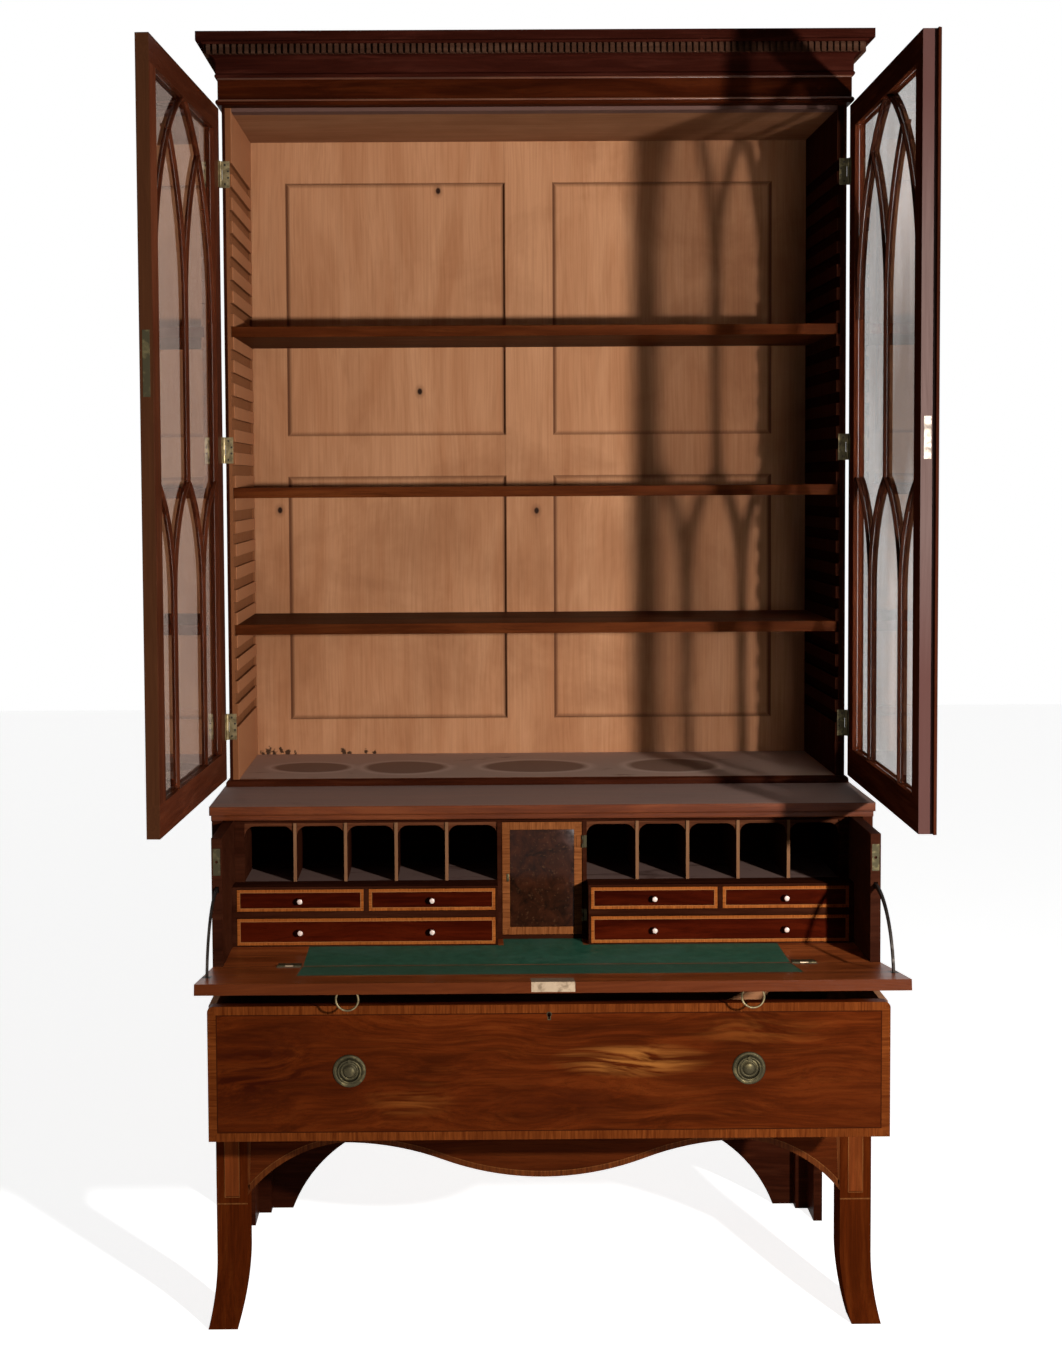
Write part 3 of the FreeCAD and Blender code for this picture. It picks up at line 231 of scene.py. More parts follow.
grainTurns = {"x": (0, 0, 0), "y": (0, 0, -math.pi / 2), "z": (0, math.pi / 2, 0)}


def openMaterial(name):
    material = bpy.data.materials.new(name)
    material.use_nodes = True
    work["tree"] = material.node_tree
    work["tree"].nodes.clear()
    shader = addNode("ShaderNodeBsdfPrincipled")
    addNode("ShaderNodeOutputMaterial", {0: shader.outputs[0]}, name="surfaceOutput")
    return material, shader


def setSurface(shader, colour, rough, specular=None, normal=None):
    inputs = {"Base Color": colour, "Roughness": rough, "Specular IOR Level": specular, "Normal": normal}
    fill(shader, {key: value for key, value in inputs.items() if value is not None})


# shows one shader to the rays of a mask and another to the rest
def splitSurface(mask, others, chosen):
    both = addNode("ShaderNodeMixShader", {0: mask, 1: others, 2: chosen}).outputs[0]
    fill(work["tree"].nodes["surfaceOutput"], {0: both})


def along(coord, grain, shift=(0, 0, 0)):
    inputs = {"Vector": coord, "Location": shift, "Rotation": grainTurns[grain]}
    return addNode("ShaderNodeMapping", inputs).outputs[0]


# fine relief, over edges that are eased a little
def relief(height, strength, depth, easing=0.0):
    inputs = {"Strength": strength, "Distance": depth, "Height": height}
    if easing:
        inputs["Normal"] = addNode("ShaderNodeBevel", {"Radius": easing}, samples=4).outputs[0]
    return addNode("ShaderNodeBump", inputs).outputs[0]


# mean colour of each mahogany; the dark and light of its figure follow from it
mahoganyTones = dict(
    cornice=(0.044, 0.0085, 0.0048),
    dentil=(0.08, 0.033, 0.019),
    frieze=(0.042, 0.0068, 0.0016),
    case=(0.04, 0.008, 0.003),
    desk=(0.125, 0.027, 0.0075),
    fall=(0.255, 0.054, 0.0125),
    figured=(0.088, 0.014, 0.0022),
    leg=(0.092, 0.015, 0.0024),
    legPanel=(0.2, 0.043, 0.009),
    apron=(0.07, 0.0125, 0.0025),
    drawer=(0.052, 0.0046, 0.0009),
    door=(0.085, 0.019, 0.0075),
    # the right door's glazing bars, darker than the left's as painted shade
    paintedShadeBar=(0.034, 0.0095, 0.005),
    inside=(0.036, 0.0085, 0.0036),
    arch=(0.11, 0.032, 0.013),
    shelf=(0.078, 0.0165, 0.004),
    keyhole=(0.01, 0.003, 0.0015),
)
toneGains = dict(dark=(0.42, 0.42, 0.42), mid=(1, 1, 1), light=(1.75, 2.2, 2.3))
bandTones = ((0.07, 0.013, 0.0022), (0.16, 0.038, 0.007))
prospectTones = ((0.115, 0.031, 0.008), (0.27, 0.088, 0.026))
smallBandTones = ((0.17, 0.04, 0.007), (0.39, 0.112, 0.023))
darkLine = (0.03, 0.006, 0.0015)
paleLine = (0.3, 0.115, 0.036)
# each step: part of the grain, its range, how much it shows, and the tone it brings
figureSteps = (
    ("Figure", 0.36, 0.58, 1.00, "mid"), ("Figure", 0.54, 0.78, 0.85, "light"),
    ("Ribbon", 0.5, 0.7, 0.5, "light"), ("Ribbon", 0.47, 0.3, 0.55, "dark"),
    ("Streak", 0.4, 0.7, 0.45, "mid"), ("Streak", 0.6, 0.3, 0.45, "dark"),
    ("Cloud", 0.5, 0.28, 0.55, "dark"), ("Pore", 0.0, 1.0, 0.5, "dark"),
)
# how squarely a face looks along an axis before it counts
facingLimit = dict(square=0.7, border=0.5, plate=0.15, dust=(0.6, 0.95))
mahoganyLook = dict(acrossShift=(0.3, 0.7, 0.1), streak=(0.2, 0.8), glossRange=(-0.05, 0.1),
                    relief=(0.12, 0.0006), flameCore=0.2, flameStreak=(0.38, 0.6), dustDraw=(1, 2.2, 1),
                    dustRough=0.25)
ovalLook = dict(wobble=(0.3, 0.7, -0.15, 0.15), rim=(1.22, 1.02, 0.0, 0.55), rimTone=(0.58, 0.41, 0.32),
                clean=(1.04, 0.88, 0.0, 0.8), cleanTone=(0.165, 0.08, 0.048))


def figureTones(tone):
    return {step: tuple(value * gain for value, gain in zip(tone, gains))
            for step, gains in toneGains.items()}


# every maker fills a shader from the object's own coordinates and normals
def mahogany(shader, spots, grain="x", tone="case", scale=7.0, reach=0.16, wander=0.05, gloss=0.34,
             polish=0.008, border=None, rails=None, returns=False, dust=None, inner=None, front=None,
             under=None, patch=None, flames=(), ovals=(), shift=(0, 0, 0), easing=0.0012):
    here, look = spots["Object"], mahoganyLook
    at, facing = splitUp(here), splitUp(spots["Normal"])
    place = along(here, grain, shift)
    if rails:  # rails between two heights run across the stiles
        beyond = calc("MAXIMUM", isLess(at[2], rails["low"]), isMore(at[2], rails["high"]))
        place = mixVector(beyond, place, along(here, rails["grain"], look["acrossShift"]))
    if returns:  # mouldings turn the corner with their grain
        onSide = isMore(calc("ABSOLUTE", facing[0]), facingLimit["square"])
        place = mixVector(onSide, place, along(here, "y", look["acrossShift"]))
    wood = placeGroup(grainGroup, Vector=place, Scale=scale, Reach=reach, Wander=wander)
    tones = figureTones(mahoganyTones[tone])
    colour = tones["dark"]
    for part, low, high, level, step in figureSteps:
        colour = mixColour(spread(wood[part], low, high, 0.0, level), colour, tones[step])
    for flame in flames:  # bright or dark flames in the veneer, longer than they are high
        squeezed = stretch(here, (flame["squeeze"], 0, 1))
        gap = distance(squeezed, (flame["x"] * flame["squeeze"], 0, flame["z"]))
        near = spread(gap, flame["size"], flame["size"] * look["flameCore"], 0.0, flame["level"])
        streaky = times(near, spread(wood["Ribbon"], *look["flameStreak"]))
        colour = mixColour(streaky, colour, flame["tone"])
    if inner:  # faces inside the case are dry wood, with painted shade in the shelf grooves; the right side's inner face is all painted shade
        across = calc("ABSOLUTE", at[0])
        insideTone = mixColour(wood["Streak"], inner["dark"], inner["light"])
        insideTone = mixColour(isMore(across, inner["groove"]), insideTone, inner["dark"])
        colour = mixColour(isLess(across, inner["limit"]), colour, insideTone)
    if front:  # faces that look to the front get a tone of their own; on the left door's leading edge it is a painted reflection, on the right door's a painted highlight
        frontFaceTone = mixColour(wood["Streak"], front["low"], front["high"])
        if "highlightHeight" in front:  # a painted highlight, palest about one height and darker towards the ends
            away = calc("ABSOLUTE", calc("SUBTRACT", at[2], front["highlightHeight"]))
            frontFaceTone = mixColour(spread(away, *front["fade"]), frontFaceTone, front["ends"])
        seen = isLess(facing[1], -facingLimit["square"])
        seen = times(seen, isLess(at[1], front["before"]))
        colour = mixColour(seen, colour, frontFaceTone)
    if border:  # on faces that look to the front
        seen = isLess(facing[1], -facingLimit["border"])
        colour = mixColour(seen, colour, addBorder(here, colour, border, here, "z"))
    if under:  # the show face of a fall that lies face down at rest, darker and crossbanded
        below = isLess(facing[2], -facingLimit["square"])
        shown = mixColour(1.0, colour, under["gain"], "MULTIPLY")
        flat = joinUp(at[0], 0.0, at[1])
        colour = mixColour(below, colour, addBorder(here, shown, under, flat, "y"))
    if patch:  # one side of a limit in X has a tone of its own
        colour = mixColour(isMore(at[0], patch["limit"]), colour, patch["tone"])
    rough = spread(wood["Streak"], *look["streak"], *(gloss + step for step in look["glossRange"]))
    if dust:  # dust settles on faces that look up; on the base top it is partly a painted sheen
        grime = grimeMask(stretch(here, look["dustDraw"]), dust["scale"], dust["cover"])
        settled = times(grime, spread(facing[2], *facingLimit["dust"]))
        if "behind" in dust:
            settled = times(settled, isMore(at[1], dust["behind"]))
        colour = mixColour(times(settled, dust["depth"]), colour, dust["tone"])
        rough = calc("ADD", rough, times(settled, look["dustRough"]))
    for oval in ovals:  # where things stood, clean inside a pale rim
        spot = vectorCalc("DIVIDE", stretch(here, (1, 1, 0)), (*oval["half"], 1))
        centre = (oval["place"][0] / oval["half"][0], oval["place"][1] / oval["half"][1], 0)
        wobble = spread(wood["Cloud"], *ovalLook["wobble"])
        gap = calc("ADD", distance(spot, centre), wobble)
        colour = mixColour(spread(gap, *ovalLook["rim"]), colour, ovalLook["rimTone"])
        colour = mixColour(spread(gap, *ovalLook["clean"]), colour, ovalLook["cleanTone"])
    lift = calc("SUBTRACT", wood["Streak"], wood["Pore"])
    setSurface(shader, colour, rough, polish, relief(lift, *look["relief"], easing))


# crossbanding and a thin line along the edges of a face, which is set out in the X and Z of flat
def addBorder(here, colour, border, flat, across):
    masks = placeGroup(borderGroup, Vector=flat, Centre=border["centre"], Half=border["half"],
                       Band=border["band"], Line=border["line"])
    runs = mixVector(masks["Ends"], along(here, across), here)
    colour = mixColour(masks["Band"], colour, crossVeneer(here, runs, border["tones"]))
    return mixColour(masks["Line"], colour, border["lineTone"])


def crossVeneer(here, runs, tones):
    low, high = [opaque(tone) for tone in tones]
    return placeGroup(crossGroup, Vector=here, Runs=runs, Low=low, High=high)["Colour"]


# crossbanding as a piece of its own, with the grain across a curved strip
bandLook = dict(fine=dict(scale=300.0), gloss=(0.2, 0.8, 0.32, 0.44), specular=0.03)


def crossband(shader, spots, tones):
    here = spots["Object"]
    rough = spread(noise(here, **bandLook["fine"]), *bandLook["gloss"])
    setSurface(shader, crossVeneer(here, along(here, "z"), tones), rough, bandLook["specular"])


pineLook = dict(
    dark=(0.17, 0.06, 0.022), mid=(0.37, 0.16, 0.072), light=(0.45, 0.215, 0.105), shift=(0.1, 0.4, 0.2),
    scale=16.0, reach=0.16, wander=0.03, figure=(0.35, 0.65), streak=(0.4, 0.75, 0.0, 0.3),
    grimeScale=3.5, grimeDepth=0.4, gloss=(0.2, 0.8, 0.55, 0.75), specular=0.05, relief=(0.2, 0.0008, 0.0015))
# knots and crumbs are given by X and Z, and crumbs by their size too
knotLook = dict(
    squash=0.75, rim=(0.013, 0.004, 0.0, 0.5), rimTone=(0.1, 0.036, 0.016), heart=(0.006, 0.0035),
    heartTone=(0.022, 0.009, 0.005),
    places=((-0.188, 2.15), (0.0136, 1.485), (-0.523, 1.489), (-0.229, 1.735)))
crumbLook = dict(
    ragged=dict(scale=170.0), raggedSize=0.016, core=0.6, level=0.9, tone=(0.014, 0.007, 0.004),
    places=((-0.566, 0.977, 0.006), (-0.552, 0.981, 0.008), (-0.541, 0.977, 0.006), (-0.526, 0.983, 0.005),
            (-0.512, 0.978, 0.007), (-0.497, 0.977, 0.004), (-0.396, 0.979, 0.006), (-0.382, 0.977, 0.004),
            (-0.349, 0.98, 0.005), (-0.331, 0.977, 0.004)))
# painted shade along the panel edges of the back, where the frame would shade the sunk panels
panelEdgeShade = dict(outside=-0.002, depth=(0.008, 0.002), level=(0.0, 1.0, 0.5, 0.85), tone=(0.085, 0.026, 0.01))


def pine(shader, spots, grain="z", grime=0.5, panels=(), paintedShadeAndFacing=None):
    here, look = spots["Object"], pineLook
    wood = placeGroup(grainGroup, Vector=along(here, grain, look["shift"]), Scale=look["scale"],
                      Reach=look["reach"], Wander=look["wander"])
    colour = mixColour(spread(wood["Figure"], *look["figure"]), look["mid"], look["light"])
    colour = mixColour(spread(wood["Streak"], *look["streak"]), colour, look["dark"])
    mask = grimeMask(here, look["grimeScale"], grime)
    colour = mixColour(times(mask, look["grimeDepth"]), colour, look["dark"])
    squash = knotLook["squash"]
    flat = stretch(here, (1, 0, squash))
    for x, z in knotLook["places"]:
        gap = distance(flat, (x, 0, z * squash))
        colour = mixColour(spread(gap, *knotLook["rim"]), colour, knotLook["rimTone"])
        colour = mixColour(spread(gap, *knotLook["heart"]), colour, knotLook["heartTone"])
    inward = isLess(splitUp(spots["Normal"])[1], 0.0)
    ragged = calc("SUBTRACT", noise(here, **crumbLook["ragged"]), 0.5)
    ragged = times(ragged, crumbLook["raggedSize"])
    for x, z, size in crumbLook["places"]:
        gap = calc("ADD", distance(flat, (x, 0, z * squash)), ragged)
        bit = spread(gap, size, size * crumbLook["core"], 0.0, crumbLook["level"])
        colour = mixColour(times(bit, inward), colour, crumbLook["tone"])
    for centre, half in panels:  # painted shade along the edges of each panel, stronger on the upright edges
        edge = placeGroup(borderGroup, Vector=here, Centre=centre, Half=half)
        level = spread(edge["Ends"], *panelEdgeShade["level"])
        level = times(isMore(edge["Depth"], panelEdgeShade["outside"]), level)
        paintedEdgeShade = times(spread(edge["Depth"], *panelEdgeShade["depth"]), level)
        colour = mixColour(paintedEdgeShade, colour, panelEdgeShade["tone"])
    if paintedShadeAndFacing:  # a darker tone over all and a tone of its own along the front: painted shade on the ceiling, a mahogany facing on the base bottom
        colour = mixColour(paintedShadeAndFacing["all"], colour, paintedShadeAndFacing["tone"])
        ahead = isLess(splitUp(here)[1], paintedShadeAndFacing["front"])
        colour = mixColour(ahead, colour, paintedShadeAndFacing["frontTone"])
    setSurface(shader, colour, spread(wood["Streak"], *look["gloss"]), look["specular"],
               relief(wood["Streak"], *look["relief"]))


brassLook = dict(grimeScale=60.0, grimeDepth=0.8, fine=dict(scale=420.0, detail=3.0), wear=(0.2, 1.6),
                 glossRange=(-0.08, 0.22), relief=(0.15, 0.0003, 0.0004))


def brass(shader, spots, clean, tarnish, gloss=0.36, cover=0.7, under=None):
    here, look = spots["Object"], brassLook
    mask = grimeMask(here, look["grimeScale"], cover)
    fine = noise(here, **look["fine"])
    colour = mixColour(times(mask, look["grimeDepth"]), clean, tarnish)
    if under:  # faces that look down at rest are as dark as the other plates
        below = isLess(splitUp(spots["Normal"])[2], -facingLimit["plate"])
        colour = mixColour(below, colour, under)
    rough = spread(calc("ADD", fine, mask), *look["wear"], *(gloss + step for step in look["glossRange"]))
    fill(shader, {"Metallic": 1.0})
    setSurface(shader, colour, rough, normal=relief(fine, *look["relief"]))


leatherLook = dict(pebble=900.0, wornScale=9.0, wornCover=0.55, wornDepth=0.45, wornTone=(0.05, 0.1, 0.072),
                   mottle=dict(scale=70.0, detail=4.0), contrast=(0.3, 0.7), dark=(0.012, 0.06, 0.034),
                   light=(0.026, 0.092, 0.056), gloss=(0.0, 1.0, 0.5, 0.66), specular=0.1,
                   relief=(0.25, 0.0004))


def leather(shader, spots):
    here, look = spots["Object"], leatherLook
    pebble = addNode("ShaderNodeTexVoronoi", {"Vector": here, "Scale": look["pebble"]}).outputs[0]
    worn = grimeMask(here, look["wornScale"], look["wornCover"])
    mottled = spread(noise(here, **look["mottle"]), *look["contrast"])
    colour = mixColour(mottled, look["dark"], look["light"])
    colour = mixColour(times(worn, look["wornDepth"]), colour, look["wornTone"])
    setSurface(shader, colour, spread(worn, *look["gloss"]), look["specular"],
               relief(pebble, *look["relief"]))


# old glass, its gloss varied by a dirt film; its tint is dimmer in one zone of each door and in broad noisy
# bands, a painted reflection
glassLook = dict(reflectionDraw=(1, 1, 0.3), reflectionNoise=dict(scale=9.0), reflectionLevel=(0.35, 0.7, -0.2, 0.3), filmScale=6.0,
                 filmCover=0.6, gloss=(0.0, 1.0, 0.0, 0.02), rippleDraw=(1, 1, 0.4),
                 ripple=dict(scale=14.0, detail=1.0), relief=(0.05, 0.002), index=1.46,
                 shadow=(0.64, 0.63, 0.63))


def paneGlass(shader, spots, pale, dim, zone):
    here, look = spots["Object"], glassLook
    at = splitUp(here)
    reflectionMask = times(spread(at[1], *zone["y"]), spread(at[2], *zone["z"]))
    reflectionMask = times(reflectionMask, spread(at[2], *zone["low"]))
    reflectionNoise = spread(noise(stretch(here, look["reflectionDraw"]), **look["reflectionNoise"]), *look["reflectionLevel"])
    reflectionMask = addNode("ShaderNodeClamp", {0: calc("ADD", reflectionMask, reflectionNoise)}).outputs[0]
    film = grimeMask(here, look["filmScale"], look["filmCover"])
    ripple = noise(stretch(here, look["rippleDraw"]), **look["ripple"])
    fill(shader, {"Transmission Weight": 1.0, "IOR": look["index"]})
    setSurface(shader, mixColour(reflectionMask, pale, dim), spread(film, *look["gloss"]),
               normal=relief(ripple, *look["relief"]))
    clear = addNode("ShaderNodeBsdfTransparent", {0: opaque(look["shadow"])}).outputs[0]
    splitSurface(addNode("ShaderNodeLightPath").outputs["Is Shadow Ray"], shader.outputs[0], clear)


# old silvering gone brown, under a panel of polished glass
mirrorLook = dict(cloud=dict(scale=34.0, detail=5.0, rough=0.65, warp=0.8), contrast=(0.35, 0.65),
                  dark=(0.01, 0.0036, 0.002), light=(0.04, 0.011, 0.0045), specks=dict(scale=210.0),
                  speckLevel=(0.62, 0.72, 0.0, 0.5), speckTone=(0.085, 0.036, 0.016),
                  gloss=(0.3, 0.7, 0.1, 0.22), specular=0.1)


def mirror(shader, spots):
    here, look = spots["Object"], mirrorLook
    cloud = noise(here, **look["cloud"])
    specks = spread(noise(here, **look["specks"]), *look["speckLevel"])
    colour = mixColour(spread(cloud, *look["contrast"]), look["dark"], look["light"])
    colour = mixColour(specks, colour, look["speckTone"])
    setSurface(shader, colour, spread(cloud, *look["gloss"]), look["specular"])


boneLook = dict(draw=(1, 0.1, 1), lines=dict(scale=500.0, detail=3.0), contrast=(0.35, 0.7),
                dark=(0.66, 0.47, 0.38), light=(0.84, 0.68, 0.6), gloss=(0.2, 0.8, 0.25, 0.4))


def bone(shader, spots):
    look = boneLook
    lines = noise(stretch(spots["Object"], look["draw"]), **look["lines"])
    colour = mixColour(spread(lines, *look["contrast"]), look["dark"], look["light"])
    setSurface(shader, colour, spread(lines, *look["gloss"]))


# a border round a face that is set out in X and one other axis, given by its place in a vector
def faceBorder(corners, axis, band, line, tones=bandTones, lineTone=darkLine, **more):
    centre, half = (corners[0] + corners[1]) / 2, (corners[1] - corners[0]) / 2
    return dict(centre=(centre.x, 0, centre[axis]), half=(half.x, 1, half[axis]), band=band, line=line,
                tones=tones, lineTone=lineTone, **more)


# the four openings of the panelled back, as centre and half size
backOpening = dict(muntin=0.051, lowerTop=0.582, upperFoot=0.67)


def backPanels():
    low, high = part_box("back_panels")
    floor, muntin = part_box("back_frame")[0].z, backOpening["muntin"]
    heights = ((low.z, floor + backOpening["lowerTop"]), (floor + backOpening["upperFoot"], high.z))
    openings = []
    for left, right in ((low.x, -muntin), (muntin, high.x)):
        for bottom, top in heights:
            centre = ((left + right) / 2, 0, (bottom + top) / 2)
            openings.append((centre, ((right - left) / 2, 1, (top - bottom) / 2)))
    return openings


doorLow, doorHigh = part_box("left_door_frame")
doorRails = dict(low=doorLow.z + 0.055, high=doorHigh.z - 0.045, grain="y")
prospectLow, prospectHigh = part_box("prospect_door")
prospectHalf = 0.073
prospectEdge = (Vector((-prospectHalf, 0, prospectLow.z)), Vector((prospectHalf, 0, prospectHigh.z)))
shelfDust = dict(scale=5.0, cover=0.4, depth=0.5, tone=(0.16, 0.11, 0.08))
floorDust = dict(scale=9.0, cover=1.1, depth=0.7, tone=(0.54, 0.37, 0.285))
# dust on the base top, partly a painted sheen
topDustAndSheen = dict(scale=12.0, cover=1.2, depth=0.52, tone=(0.37, 0.265, 0.225))
holeDust = dict(scale=9.0, cover=1.0, depth=0.7, tone=(0.24, 0.15, 0.125), behind=-0.05)
floorOvals = (
    dict(place=(-0.445, 0.27), half=(0.085, 0.07)), dict(place=(-0.262, 0.27), half=(0.09, 0.085)),
    dict(place=(0.0, 0.27), half=(0.105, 0.08)), dict(place=(0.28, 0.27), half=(0.095, 0.085)))
# inner faces of the bookcase sides; the dark tone in the shelf grooves is painted shade
leftInner = dict(dark=(0.18, 0.064, 0.025), light=(0.42, 0.175, 0.08), limit=0.588, groove=0.5775)
# the right side's inner face, far darker than the left's: painted shade
rightInnerShade = dict(dark=(0.016, 0.004, 0.0018), light=(0.05, 0.013, 0.006), limit=0.588, groove=0.5775)
# painted reflection: an olive tint on the left door's leading edge
leftDoorEdgeReflection = dict(low=(0.042, 0.0135, 0.0055), high=(0.085, 0.029, 0.0115), before=-0.4)
# painted highlight on the right door's leading edge, palest about one height
rightDoorEdgeHighlight = dict(low=(0.078, 0.046, 0.039), high=(0.142, 0.092, 0.081), before=-0.4, highlightHeight=1.69,
                     fade=(0.22, 0.46, 0.0, 0.8), ends=(0.072, 0.027, 0.022))
dividerEdge = dict(low=(0.11, 0.045, 0.02), high=(0.27, 0.13, 0.062), before=1.0)
fallEdge = dict(low=(0.05, 0.0085, 0.0014), high=(0.12, 0.026, 0.0055), before=1.0)
# painted shade over the part of the prospect door beyond its right edge
prospectEdgeShade = dict(limit=0.0733, tone=(0.02, 0.012, 0.007))
# painted shade over the underside of the bookcase top, greyer at its front
ceilingPaintedShade = dict(all=0.48, tone=(0.11, 0.042, 0.018), front=0.165, frontTone=(0.105, 0.052, 0.04))
bottomEdge = dict(all=0.0, tone=(0.11, 0.042, 0.018), front=-0.06, frontTone=(0.06, 0.011, 0.0024))
wideBand = dict(band=0.0155, line=0.0018)
longBorder = faceBorder(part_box("long_drawer_front"), 2, **wideBand)
fallBorder = faceBorder(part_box("fall_board"), 1, **wideBand, gain=(0.36, 0.27, 0.19))
prospectBorder = faceBorder(prospectEdge, 2, band=0.0145, line=0.001, tones=prospectTones)
longFlames = (
    dict(x=0.14, z=0.562, squeeze=0.22, size=0.032, level=0.85, tone=(0.32, 0.115, 0.023)),
    dict(x=-0.235, z=0.497, squeeze=0.4, size=0.034, level=0.5, tone=(0.2, 0.06, 0.011)),
    dict(x=0.36, z=0.61, squeeze=0.2, size=0.03, level=0.4, tone=(0.19, 0.056, 0.01)),
    dict(x=-0.5, z=0.545, squeeze=0.45, size=0.125, level=0.95, tone=(0.026, 0.0032, 0.0008)),
    dict(x=0.02, z=0.49, squeeze=0.3, size=0.05, level=0.75, tone=(0.034, 0.0048, 0.0011)),
)
# zones of each door's panes where the tint is dimmer: painted reflection
leftReflectionZone = dict(y=(-0.3, 0.1), z=(2.2, 1.0), low=(0.8, 0.9))
rightReflectionZone = dict(y=(-0.08, -0.24), z=(2.04, 1.78), low=(1.36, 1.62))
smallBand = dict(band=0.0054, line=0.001, tones=smallBandTones, lineTone=paleLine)
smallGrain = dict(tone="drawer", scale=14.0, reach=0.1, wander=0.12, gloss=0.3)
grainStep = 0.4
